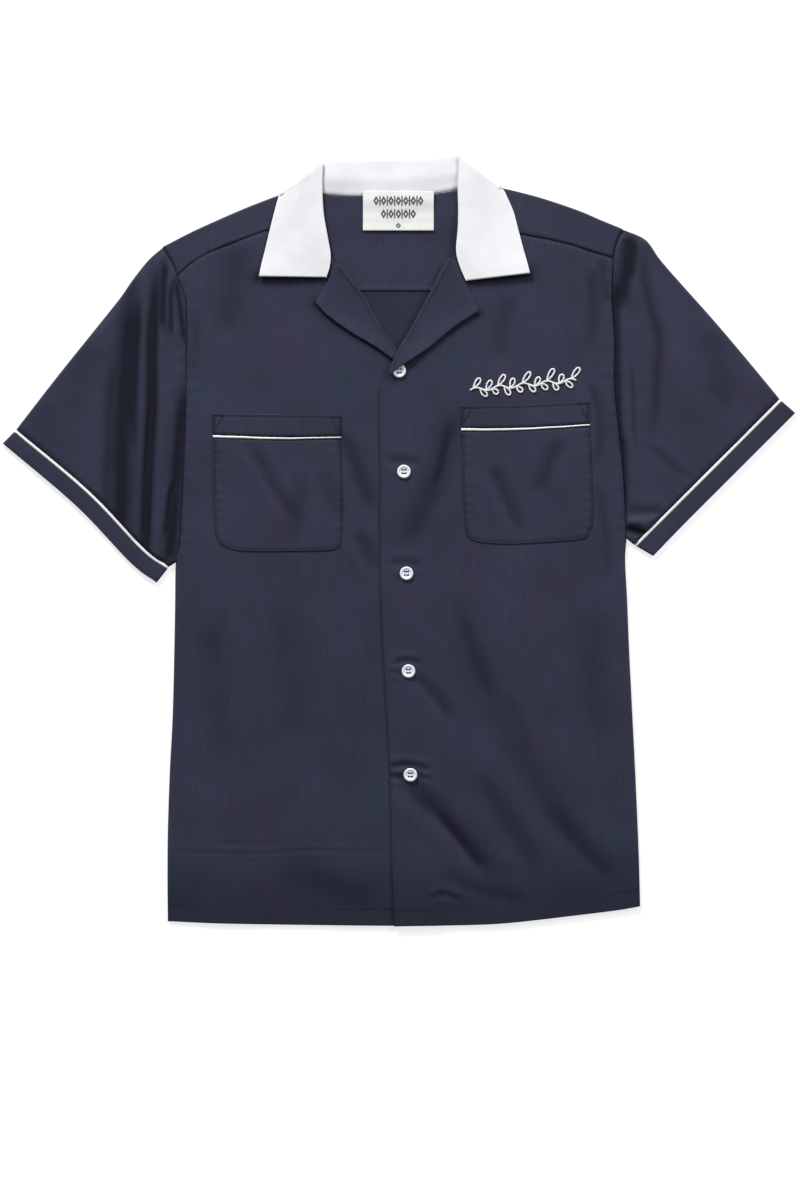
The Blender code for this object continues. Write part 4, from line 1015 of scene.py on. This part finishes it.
def makeStand():
    roll, neck = standShape["roll"], standShape["neck"]
    # a patch between its two edges, rising from the neck seam and rounded off over the roll
    width, depth = standShape["width"], standShape["depth"]
    us, vs = spacedShares(width, 2.2, [0, 0.6, 1.4]), spacedShares(depth, 1.8, [0, 0.4, 0.9, 1.5])
    plan = spanEdges(neck, roll, [neck[0], roll[0]], [neck[-1], roll[-1]], us, vs)
    x, y = plan[..., 0], plan[..., 1]
    height = 3.2 + 1.5 * ease(vs, 0, 0.5)[None, :] + 0.25 * softNoise(x, y, 26, 74)
    height = height - 0.6 * (1 - ease(vs * depth, 0, 2.2))[None, :]
    height = height - 1.6 * (1 - roundOff((1 - vs) * depth, 3.2))[None, :]
    height = height - 0.5 * (1 - ease(us * width, 0, 6) * ease((1 - us) * width, 0, 6))[:, None]
    grid = np.dstack([plan, height])
    piece = clothPiece("collarStand", grid, whitePoplin)
    return finishPiece(piece, "white_poplin", "collar_stand"), grid


label = {"left": -36.0, "right": 34.8, "top": 348.3, "bottom": 309.0}


def labelMotif(x, y):
    # woven ornament on the label's middle: rows of hollow diamonds |dx| / a + |dy| / b < 1 with an upright
    # bar |dx| < c between each two
    cx = (label["left"] + label["right"]) / 2
    mark = np.zeros(np.shape(x))
    for rowY, half, count, pitch in ((338.6, 5.2, 7, 7.4), (325.6, 5.0, 5, 7.4), (314.0, 3.0, 1, 5.6)):
        place = np.clip(np.round((x - cx) / pitch), -(count // 2), count // 2)
        dx, dy = np.abs(x - cx - place * pitch), np.abs(y - rowY)
        outer = 1 - ease(dx / 3.1 + dy / half, 0.9, 1.02)
        inner = 1 - ease(dx / 3.1 + dy / half, 0.22, 0.40)
        gap = np.abs(np.abs(x - cx) - (np.floor(np.abs(x - cx) / pitch) + 0.5) * pitch)
        within = np.abs(x - cx) < count / 2 * pitch - 1
        bar = (1 - ease(gap, 0.5, 0.95)) * (1 - ease(dy, half - 0.5, half)) * within
        mark = np.maximum(mark, np.maximum(outer - inner, bar * (count > 1)))
    return mark


def makeLabel():
    # a flat patch lying over the yoke and up the stand, its ornament raised and toned by labelMotif
    xs = label["left"] + (label["right"] - label["left"]) * spacedShares(70.8, 0.5, [0, 0.4, 1.0])
    ys = label["bottom"] + (label["top"] - label["bottom"]) * spacedShares(39.3, 0.5, [0, 0.4, 1.0])
    x, y = np.meshgrid(xs, ys, indexing="ij")
    height = backHeight(x, y) + 1.35 + 1.5 * ease(y, 325, 341)
    off = np.minimum(np.minimum(x - label["left"], label["right"] - x), y - label["bottom"])
    height = height - 0.25 * (1 - roundOff(off, 1.0)) + 0.5 * (1 - ease(y, 309, 318))
    height = height + 0.15 * softNoise(x, y, 18, 77)
    mark = labelMotif(x, y)
    grid = np.dstack([x, y, height + 0.06 * mark])
    piece = clothPiece("neckLabel", grid, labelSatin, thickness=0.4, shade=0.9 * mark)
    return finishPiece(piece, "white_label", "label"), grid


collar, collarGrid = makeCollar()
stand, standGrid = makeStand()
neckLabel, labelGrid = makeLabel()
print("collar, stand and label made")

# A pocket is a patch, a band above it and a piping between them.

pocketShape = {
    "right": {
        "bottom": [(-178, -5), (-160, -11), (-115, -11.6), (-70, -10.6), (-60.5, -7.5)],
        "outside": [(-178, -5), (-184, 10), (-185.6, 50), (-185.6, 101.6)],
        "inside": [(-60.5, -7.5), (-57, 2), (-56.4, 50), (-58, 100.6)],
        "mouth": [(-185.6, 101.6), (-122, 99.6), (-58, 100.6)],
        "seam": [(-186, 105.4), (-122, 103.4), (-57.8, 104.3)],
        "top": [(-186.5, 126.6), (-120, 125.6), (-57, 124.4)],
    },
    "left": {
        "bottom": [(70.5, 1), (83, -3), (117.5, -4.3), (168.6, -1), (187, 1.5)],
        "outside": [(187, 1.5), (193.4, 18), (193.6, 45), (192, 91), (190.6, 112.8)],
        "inside": [(70.5, 1), (66.2, 12), (62.9, 65), (62.2, 108)],
        "mouth": [(62.2, 108), (120, 108.6), (190.6, 112.8)],
        "seam": [(62.1, 112), (120, 112.6), (190.6, 116.6)],
        "top": [(62, 134.1), (120, 135.2), (190.2, 138.5)],
    },
    "lift": 0.95, "bandLift": 1.35, "pipingLift": 1.5, "stitchIn": 2.2, "bandStitchIn": 2.6,
    "tackIn": 2.0, "tackDown": 2.2, "tackWide": 9, "tackDeep": 16.5,
}


def tackCorners(top):
    # the triangle of a bar tack in each upper corner of a band: its corner, then across, then down
    corners = []
    for end, way in ((top[0], 1), (top[-1], -1)):
        corner = np.asarray(end, float) + [pocketShape["tackIn"] * way, -pocketShape["tackDown"]]
        across = corner + [pocketShape["tackWide"] * way, 0]
        corners.append((corner, across, corner - [0, pocketShape["tackDeep"]]))
    return corners


def makePocket(side):
    # patch pocket, its piping and its band, all made from the front's own height, moved out
    cut = pocketShape[side]
    sides = (cut["outside"], cut["inside"]) if side == "right" else (cut["inside"], cut["outside"])
    us, vs = spacedShares(125, 1.8, [0, 0.3, 0.8, 1.5, 2.4]), spacedShares(110, 1.8, [0, 0.3, 0.8, 1.5, 2.4])
    plan = spanEdges(cut["bottom"], cut["mouth"], sides[0], sides[1], us, vs)
    x, y = plan[..., 0], plan[..., 1]
    rim = np.vstack([lineThrough(sides[0], 4)[::-1], lineThrough(cut["bottom"], 4)[1:],
                     lineThrough(sides[1], 4)[1:]])
    off, run, _, _ = nearLine(x, y, rim)
    offMouth, runMouth, _, _ = nearLine(x, y, lineThrough(cut["mouth"], 4))
    height = frontHeight(x, y, side) + pocketShape["lift"]
    fromStitch = off - pocketShape["stitchIn"]
    height = height - 0.75 * (1 - roundOff(off, 0.9)) - 0.4 * np.exp(-(fromStitch / 0.9) ** 2)
    height = height + 0.26 * puckers(fromStitch, run, 5, 9.5, 81)
    height = height + 0.14 * puckers(fromStitch, run, 4, 5.3, 82)
    height = height - 0.5 * (1 - ease(offMouth, 0, 2.0)) + 0.34 * puckers(offMouth, runMouth, 8, 6.5, 83)
    grid = np.dstack([plan, height])
    name = side.capitalize()
    # painted shade: darker in the crease troughs, along the pocket's edge and its stitching, and under the
    # piping at the mouth
    shade = 0.32 * creaseHeight(x, y, frontCreases[side], depthOnly=True) + 0.55 * np.exp(-off / 0.9)
    shade = shade + seamShade(fromStitch, run, 0.4, 0.9, 99)
    shade = shade + seamShade(offMouth, runMouth, 0.6, 1.8, 90)
    pocket = clothPiece("pocket" + name, grid, navyTwill, shade=shade)
    finishPiece(pocket, "navy_twill", "pocket_" + side)

    seam, top = cut["seam"], cut["top"]
    vs = spacedShares(21.5, 1.6, [0, 0.3, 0.8, 1.5])
    plan = spanEdges(seam, top, [seam[0], top[0]], [seam[-1], top[-1]], us, vs)
    x, y = plan[..., 0], plan[..., 1]
    offTop, runTop, _, _ = nearLine(x, y, lineThrough(top, 4))
    offSeam, runSeam, _, _ = nearLine(x, y, lineThrough(seam, 4))
    offEnd = np.minimum(np.hypot(x - x[:1], y - y[:1]), np.hypot(x - x[-1:], y - y[-1:]))
    height = frontHeight(x, y, side) + pocketShape["bandLift"]
    height = height - 0.7 * (1 - roundOff(np.minimum(offTop, offEnd), 1.0))
    fromStitch = offTop - pocketShape["bandStitchIn"]
    height = height - 0.5 * (1 - ease(offSeam, 0, 1.8)) - 0.3 * np.exp(-(fromStitch / 0.9) ** 2)
    height = height + 0.2 * puckers(fromStitch, runTop, 5, 9, 85)
    height = height + 0.2 * puckers(offSeam, runSeam, 6, 8, 87)
    bandGrid = np.dstack([plan, height])
    # painted shade along the band's top edge and ends, along its stitching and its seam, and along the bar
    # tacks' lines
    shade = 0.5 * np.exp(-np.minimum(offTop, offEnd) / 0.9) + seamShade(fromStitch, runTop, 0.4, 0.9, 100)
    shade = shade + seamShade(offSeam, runSeam, 0.5, 1.4, 101)
    for corner, across, below in tackCorners(top):
        tack = nearLine(x, y, [corner, across, below, corner])[0]
        shade = shade + 0.75 * np.exp(-(tack / 0.8) ** 2)
    band = finishPiece(clothPiece("pocketBand" + name, bandGrid, navyTwill, shade=shade, thickness=0.8),
                       "navy_twill", "pocket_band_" + side)

    # piping: half an ellipse across, wavering a little along its length and slimmer towards the wearer's left
    low = [(px, py + 0.6 + 0.3 * k) for k, (px, py) in enumerate(cut["mouth"])]
    high = [(px, py - 0.6 - 0.3 * k) for k, (px, py) in enumerate(seam)]
    across = np.linspace(0, 1, 11)
    plan = spanEdges(low, high, [low[0], high[0]], [low[-1], high[-1]], np.linspace(0, 1, 90), across)
    x, y = plan[..., 0], plan[..., 1]
    wave = 0.25 * softNoise(x, x * 0, 16, 89)
    crown = np.sqrt(np.clip(1 - (2 * across - 1) ** 2, 0, 1))[None, :]
    height = frontHeight(x, y, side) + pocketShape["pipingLift"] - 1.2 + 1.3 * crown
    height = height + 0.08 * np.sin(x * 3.7) * crown
    pipe = np.dstack([x, y + wave, height])
    uv = np.dstack([x, y])
    piping = finishPiece(clothPiece("pocketPiping" + name, pipe, whitePiping, uv=uv, thickness=0.5),
                         "white_piping", "pocket_piping_" + side)
    return pocket, band, piping, grid, bandGrid, rim


pocketRight, bandRight, pipingRight, pocketRightGrid, bandRightGrid, pocketRightRim = makePocket("right")
pocketLeft, bandLeft, pipingLeft, pocketLeftGrid, bandLeftGrid, pocketLeftRim = makePocket("left")
print("pockets made")

# Buttons are turned discs with four holes.

buttonShape = {"radius": 6.75, "height": 1.9, "holeRadius": 0.85, "holeOut": 1.75}
# share of the radius and of the height, from the middle of the face over the rim to the middle of the foot
buttonProfile = [(0.0, 0.55), (0.30, 0.56), (0.50, 0.62), (0.64, 0.76), (0.72, 0.93), (0.80, 1.0),
                 (0.88, 0.95), (0.95, 0.80), (0.99, 0.58), (1.0, 0.42), (0.97, 0.22), (0.90, 0.08),
                 (0.78, 0.0), (0.0, 0.0)]


def makeButtonMaterial():
    # polyester button, cast and tumbled: white with a faint blue pearl swirl and a soft polish
    material, tree, shader = newMaterial("pearlPolyester", {
        "Roughness": 0.28, "Specular IOR Level": 0.5, "Coat Weight": 0.35, "Coat Roughness": 0.12})
    where = addNode(tree, "ShaderNodeTexCoord").outputs["Object"]
    swirl = addNode(tree, "ShaderNodeTexNoise", {"Scale": 170.0, "Detail": 3.0, "Distortion": 1.6},
                    {"Vector": where})
    tone = mixTones(tree, srgb("#d3d9e6"), srgb("#eef0f5"), swirl.outputs["Fac"])
    # the holes are pits, not cut through: their bottoms are painted dark, partly for the navy cloth and
    # thread that would show through them and partly as painted shade inside them
    pit = addNode(tree, "ShaderNodeAttribute", {"attribute_name": "pit"})
    final = addNode(tree, "ShaderNodeMix", {"data_type": "RGBA", 7: (*srgb("#3a3f50"), 1)},
                    {0: pit.outputs["Fac"], 6: tone.outputs[2]})
    tree.links.new(final.outputs[2], shader.inputs["Base Color"])
    fine = addNode(tree, "ShaderNodeTexNoise", {"Scale": 900.0, "Detail": 2.0}, {"Vector": where})
    addBump(tree, shader, 0.15, 0.1 * mm, fine.outputs["Fac"])
    return material


pearlPolyester = makeButtonMaterial()


def makeButton(number, place):
    # turned profile, its top pressed in at four holes: height less a bell round each hole, sharp at its rim
    outside = lineThrough(buttonProfile, 5)
    turned = np.linspace(0, 2 * math.pi, 72, endpoint=False)
    radii = np.linspace(0, 0.46, 20)
    rim = buttonProfile[:8]
    inner = np.column_stack([radii, np.interp(radii, [p[0] for p in rim], [p[1] for p in rim])])
    profile = np.vstack([inner[1:], outside[outside[:, 0] > 0.47]])
    r = profile[:, 0][:, None] * buttonShape["radius"]
    z = profile[:, 1][:, None] * buttonShape["height"] + 0 * turned[None, :]
    x, y = r * np.cos(turned)[None, :], r * np.sin(turned)[None, :]
    pit = np.zeros_like(z)
    hole, out = buttonShape["holeRadius"], buttonShape["holeOut"]
    for sx, sy in ((1, 1), (-1, 1), (-1, -1), (1, -1)):
        away = np.hypot(x - sx * out, y - sy * out)
        pit = np.maximum(pit, 1 - ease(away, hole - 0.25, hole + 0.2))
    pit[len(inner):] = 0
    z = z - 0.8 * pit
    grooves = 0.05 * np.sin(turned * 36)[None, :] * np.exp(-((profile[:, 0][:, None] - 0.8) / 0.08) ** 2)
    z = z + grooves
    px, py = place
    foot = float(frontHeight(np.array(px), np.array(py), "left")) + 0.35
    shell = np.dstack([x + px, y + py, z + foot])
    rows, cols = shell.shape[:2]
    middleTop = np.array([[px, py, profile[0, 1] * buttonShape["height"] + foot]])
    middleFoot = np.array([[px, py, foot]])
    points = np.vstack([shell.reshape(-1, 3), middleTop, middleFoot])
    quads = gridFaces(rows, cols, True)
    halves = np.concatenate([quads[:, :3], quads[:, [0, 2, 3]]])
    first = np.arange(cols)
    after, lowest = np.roll(first, -1), (rows - 1) * cols
    topFan = np.column_stack([np.full(cols, rows * cols), first, after])
    footFan = np.column_stack([np.full(cols, rows * cols + 1), lowest + after, lowest + first])
    faces = np.concatenate([halves, topFan, footFan])
    pits = np.concatenate([pit.ravel(), [0, 0]])
    piece = meshObject("buttonDisc%d" % number, points, faces, pearlPolyester, attributes={"pit": pits})
    return finishPiece(piece, "white_button", "button_%d" % number), foot


buttons = [makeButton(n, place) for n, place in enumerate(buttonPlaces, start=1)]
print("buttons made")

# Stitches are small spindles of thread laid on the cloth.


def surfaceOf(*grids):
    # height of a cloth at any plan points: the four nearest grid points, each weighed by 1 / its distance
    points = np.concatenate([g.reshape(-1, 3) for g in grids])

    def heightAt(x, y):
        x, y = np.asarray(x, float), np.asarray(y, float)
        result = np.empty(len(x))
        for first in range(0, len(x), 150):
            part = slice(first, first + 150)
            away = np.hypot(points[None, :, 0] - x[part, None], points[None, :, 1] - y[part, None])
            near = np.argpartition(away, 4, axis=1)[:, :4]
            weight = 1 / (np.take_along_axis(away, near, axis=1) + 0.05)
            result[part] = (points[near, 2] * weight).sum(axis=1) / weight.sum(axis=1)
        return result

    return heightAt


def stitchesAlong(lines, heightAt, pitch=2.7, length=2.1, radius=0.24, sink=0.1, wander=0.06, seed=1):
    # one small spindle for each stitch: rings of six points along it, thin at both ends, laid on the cloth
    # and turned along the line
    rng = np.random.default_rng(seed)
    centres, ways = [], []
    for line in lines:
        line = np.asarray(line, float)
        run = np.linalg.norm(np.diff(line[:, :2], axis=0), axis=1).sum()
        count = max(2, int(run / pitch))
        shares = (np.arange(count) + 0.5) / count
        at = alongLine(line[:, :2], shares)
        ahead = alongLine(line[:, :2], np.minimum(shares + 0.3 / count, 1))
        behind = alongLine(line[:, :2], np.maximum(shares - 0.3 / count, 0))
        centres.append(at)
        step = ahead - behind
        ways.append(step / np.maximum(np.linalg.norm(step, axis=1, keepdims=True), 1e-6))
    centre, way = np.concatenate(centres), np.concatenate(ways)
    across = np.column_stack([-way[:, 1], way[:, 0]])
    centre = centre + across * rng.normal(0, wander, (len(centre), 1))
    stretch = length * rng.uniform(0.9, 1.08, len(centre))
    ends = centre[:, None] + way[:, None] * (np.array([-0.5, 0.5])[None, :, None] * stretch[:, None, None])
    z = heightAt(ends[..., 0].ravel(), ends[..., 1].ravel()).reshape(-1, 2)
    share = np.array([-0.5, -0.36, 0.0, 0.36, 0.5])
    thick = np.array([0.12, 0.8, 1.0, 0.8, 0.12]) * radius
    turn = np.arange(6) * math.pi / 3
    mid = (z[:, 0] + z[:, 1]) / 2
    slope = z[:, 1] - z[:, 0]
    along = share[None, :, None] * stretch[:, None, None]
    x = centre[:, 0][:, None, None] + way[:, 0][:, None, None] * along
    y = centre[:, 1][:, None, None] + way[:, 1][:, None, None] * along
    side = thick[None, :, None] * np.cos(turn)[None, None, :]
    x, y = x + across[:, 0][:, None, None] * side, y + across[:, 1][:, None, None] * side
    dip = -0.30 * (2 * share) ** 2
    height = mid[:, None, None] + slope[:, None, None] * share[None, :, None] + dip[None, :, None]
    height = height + thick[None, :, None] * np.sin(turn)[None, None, :] + radius - sink
    points = np.stack(np.broadcast_arrays(x, y, height), axis=-1)
    count = len(centre)
    caps = np.array([[0, 5, 4, 3], [0, 3, 2, 1], [24, 25, 26, 27], [24, 27, 28, 29]])
    one = np.concatenate([gridFaces(5, 6, True)[:, [0, 3, 2, 1]], caps])
    faces = (one[None] + (np.arange(count) * 30)[:, None, None]).reshape(-1, 4)
    return points.reshape(-1, 3), faces


def threadPiece(name, material, slotName, parts):
    # several runs of stitches joined in one piece
    offset, allPoints, allFaces = 0, [], []
    for points, faces in parts:
        allPoints.append(points)
        allFaces.append(faces + offset)
        offset += len(points)
    piece = meshObject(name, np.concatenate(allPoints), np.concatenate(allFaces), material)
    return finishPiece(piece, slotName)


def inward(line, distance):
    # a line moved to its left by this distance
    line = np.asarray(line, float)[:, :2]
    way = np.gradient(line, axis=0)
    way = way / np.maximum(np.linalg.norm(way, axis=1, keepdims=True), 1e-6)
    return line + np.column_stack([-way[:, 1], way[:, 0]]) * distance


def makeTopstitch():
    # rows of stitches beside the edges of pockets and bands, their bar tacks, and the hems' and lapels' rows
    parts = []
    for side, grid, bandGrid, rim in (("right", pocketRightGrid, bandRightGrid, pocketRightRim),
                                      ("left", pocketLeftGrid, bandLeftGrid, pocketLeftRim)):
        cut = pocketShape[side]
        parts.append(stitchesAlong([inward(rim, pocketShape["stitchIn"])], surfaceOf(grid), seed=3))
        top, seam = lineThrough(cut["top"], 6), lineThrough(cut["seam"], 6)
        lines = [top - [0, pocketShape["bandStitchIn"]], seam + [0, 1.6]]
        for corner, across, below in tackCorners(top):
            lines += [(corner, across), (corner, below), (across, below)]
        parts.append(stitchesAlong(lines, surfaceOf(bandGrid), pitch=2.4, length=2.0, seed=4))
    hemR = lineThrough(outline["right"]["hem"], 6)
    hemL = lineThrough(outline["left"]["hem"], 6)
    hemR = hemR[hemR[:, 0] < -20]
    parts.append(stitchesAlong([hemR + [0, hemStitch]], surfaceOf(frontRightGrid), seed=5))
    parts.append(stitchesAlong([hemL + [0, hemStitch]], surfaceOf(frontLeftGrid), seed=6))
    for side, grid in (("right", lapelRightGrid), ("left", lapelLeftGrid)):
        parts.append(stitchesAlong([grid[3:-3, 11, :2]], surfaceOf(grid), seed=7))
    return threadPiece("topstitching", navyThread, "navy_twill", parts)


topstitching = makeTopstitch()


def makeButtonThread():
    # two bars of thread through each button's holes, sunk at their ends
    parts = []
    for (px, py), (_, foot) in zip(buttonPlaces, buttons):
        out = buttonShape["holeOut"]
        lines = [np.array([[px - out, py + s * out], [px + out, py + s * out]]) for s in (-1, 1)]
        level = foot + 0.56 * buttonShape["height"]
        for shift in (-0.22, 0.22):
            shifted = [line + [0, shift] for line in lines]
            parts.append(stitchesAlong(shifted, lambda x, y, level=level: np.full(len(x), level), pitch=9,
                                       length=2 * out + 0.5, radius=0.2, sink=0.0, wander=0.0, seed=9))
    return threadPiece("buttonThread", navyThread, "navy_twill", parts)


# The embroidery is a plain leafy vine in chain stitch.

vine = {"start": (71.0, 149.5), "end": (177.0, 159.5), "wave": 1.9, "turns": 4.5, "leaves": 17,
        "leafLength": 13.5, "leafWidth": 2.9, "thread": 0.98}


def makeEmbroidery():
    # a wave along the chest line, and leaves to both sides of it in turn: each leaf's outline is a closed
    # loop, width times sin(t) sin(t / 2) across and length times (1 - cos t) / 2 along it
    start, end = np.array(vine["start"]), np.array(vine["end"])
    along = end - start
    length = np.linalg.norm(along)
    along = along / length
    up = np.array([-along[1], along[0]])
    t = np.linspace(0, 1, 300)
    stem = start + along * (t * length)[:, None]
    stem = stem + up * (vine["wave"] * np.sin(t * vine["turns"] * 2 * math.pi))[:, None]
    lines = [stem]
    loop = np.linspace(0, 2 * math.pi, 40)
    for k in range(vine["leaves"]):
        share = (k + 0.6) / (vine["leaves"] + 0.4)
        foot = alongLine(stem, [share])[0]
        lean = math.radians((52, -58, 62, -48)[k % 4] + 5.0 * math.sin(k * 2.3))
        reach = along * math.cos(lean) + up * math.sin(lean)
        across = np.array([-reach[1], reach[0]])
        size = vine["leafLength"] * (0.86 + 0.16 * math.sin(k * 1.7)) * (1 - 0.25 * (k % 2))
        leaf = foot + reach * (size * (1 - np.cos(loop)) / 2)[:, None]
        lines.append(leaf + across * (vine["leafWidth"] * np.sin(loop) * np.sin(loop / 2))[:, None])
    heightAt = surfaceOf(frontLeftGrid, pocketLeftGrid, bandLeftGrid)
    parts = [stitchesAlong(lines, heightAt, pitch=1.7, length=2.2, radius=vine["thread"], sink=0.35,
                           wander=0.05, seed=12)]
    return threadPiece("chainStitchVine", whiteThread, "white_piping", parts)


makeButtonThread()
embroidery = makeEmbroidery()
print("stitching made")

# Last come the sheets' cuts, the paper, the lights and the camera.

sheets = [
    # piece, its grid, ring, cut's width and length in metres, its flat area in square metres, what it lies on
    (back, backGrid, False, (0.480, 0.640), 0.285, ["floor"], []),
    (yoke, yokeGrid, False, (0.460, 0.190), 0.050, ["back", "frontRight"], []),
    (frontRight, frontRightGrid, False, (0.260, 0.700), 0.159, ["back"], [topstitching]),
    (frontLeft, frontLeftGrid, False, (0.260, 0.700), 0.159, ["back"], [embroidery]),
    (sleeveRight, sleeveRightGrid, True, (0.640, 0.190), 0.061, ["floor"], []),
    (sleeveLeft, sleeveLeftGrid, True, (0.640, 0.190), 0.058, ["floor"], []),
    (cuffRight, cuffRightGrid, True, (0.420, 0.019), 0.0078, ["floor"], [cuffPipingRight]),
    (cuffLeft, cuffLeftGrid, True, (0.420, 0.019), 0.0078, ["floor"], [cuffPipingLeft]),
    (lapelRight, lapelRightGrid, False, (0.125, 0.040), 0.0030, ["frontRight"], []),
    (lapelLeft, lapelLeftGrid, False, (0.130, 0.046), 0.0038, ["frontLeft"], []),
    (collar, collarGrid, False, (0.400, 0.075), 0.022, ["yoke", "frontRight", "frontLeft"], []),
    (stand, standGrid, False, (0.138, 0.038), 0.0051, ["yoke"], []),
    (neckLabel, labelGrid, False, (0.071, 0.040), 0.0028, ["yoke"], []),
    (pocketRight, pocketRightGrid, False, (0.130, 0.115), 0.0140, ["frontRight"], [pipingRight]),
    (pocketLeft, pocketLeftGrid, False, (0.132, 0.117), 0.0142, ["frontLeft"], [pipingLeft]),
    (bandRight, bandRightGrid, False, (0.130, 0.022), 0.0028, ["frontRight"], []),
    (bandLeft, bandLeftGrid, False, (0.130, 0.023), 0.0028, ["frontLeft"], []),
]


def makePaper():
    # matt paper with a faint cloud, brightened by a little light of its own so that it comes out near white
    material, tree, shader = newMaterial("studioPaper", {
        "Roughness": 0.9, "Specular IOR Level": 0.1,
        "Emission Color": (1, 1, 1, 1), "Emission Strength": 0.72,
    })
    where = addNode(tree, "ShaderNodeTexCoord").outputs["Object"]
    cloud = addNode(tree, "ShaderNodeTexNoise", {"Scale": 2.0, "Detail": 2.0}, {"Vector": where})
    tone = mixTones(tree, srgb("#a2a2a2"), srgb("#a6a6a6"), cloud.outputs["Fac"])
    tree.links.new(tone.outputs[2], shader.inputs["Base Color"])
    return material


# pale, level paper under the shirt
floorCorners = [(-3500, -3500, 0), (3500, -3500, 0), (3500, 3500, 0), (-3500, 3500, 0)]
meshObject("floor", floorCorners, [[0, 1, 2, 3]], makePaper())

studio = {
    "cameraHeight": 3.0, "lens": 90.0, "aim": (0.001, -0.060),
    "worldStrength": 0.30,
    "keyPower": 215.0, "keySize": 0.9, "keyAt": (-1.4, 3.5, 1.75),
    "fillPower": 62.0, "fillSize": 1.0, "fillAt": (2.6, 1.9, 1.9),
}


def addAreaLight(name, power, size, at, aim=(0, 0, 0)):
    # square lamp turned from its place to its aim: tilt acos(-z), heading atan2(y, x) less a quarter turn
    lamp = bpy.data.lights.new(name, "AREA")
    lamp.energy, lamp.size = power, size
    thing = bpy.data.objects.new(name, lamp)
    thing.location = at
    from_, to = np.array(at, float), np.array(aim, float)
    reach = (to - from_) / np.linalg.norm(to - from_)
    thing.rotation_euler = (math.acos(-reach[2]), 0, math.atan2(reach[1], reach[0]) - math.pi / 2)
    bpy.context.scene.collection.objects.link(thing)
    return thing


addAreaLight("keyLight", studio["keyPower"], studio["keySize"], studio["keyAt"])
addAreaLight("fillLight", studio["fillPower"], studio["fillSize"], studio["fillAt"])
world = bpy.data.worlds.new("studioWorld")
world.use_nodes = True
world.node_tree.nodes["Background"].inputs["Color"].default_value = (0.97, 0.98, 1.0, 1)
world.node_tree.nodes["Background"].inputs["Strength"].default_value = studio["worldStrength"]
bpy.context.scene.world = world

lens = bpy.data.cameras.new("camera")
lens.lens, lens.sensor_width, lens.clip_start, lens.clip_end = studio["lens"], 36.0, 0.1, 30.0
camera = bpy.data.objects.new("camera", lens)
camera.location = (*studio["aim"], studio["cameraHeight"])
camera.rotation_euler = (0, 0, 0)
bpy.context.scene.collection.objects.link(camera)
bpy.context.scene.camera = camera
bpy.context.scene.view_settings.view_transform = "Standard"
bpy.context.scene.view_settings.look = "None"

for piece, grid, ring, flat, area, restsOn, withPieces in sheets:
    print("sheet", piece.name, "cloth", round(clothArea(grid, ring), 5), "cut", area)
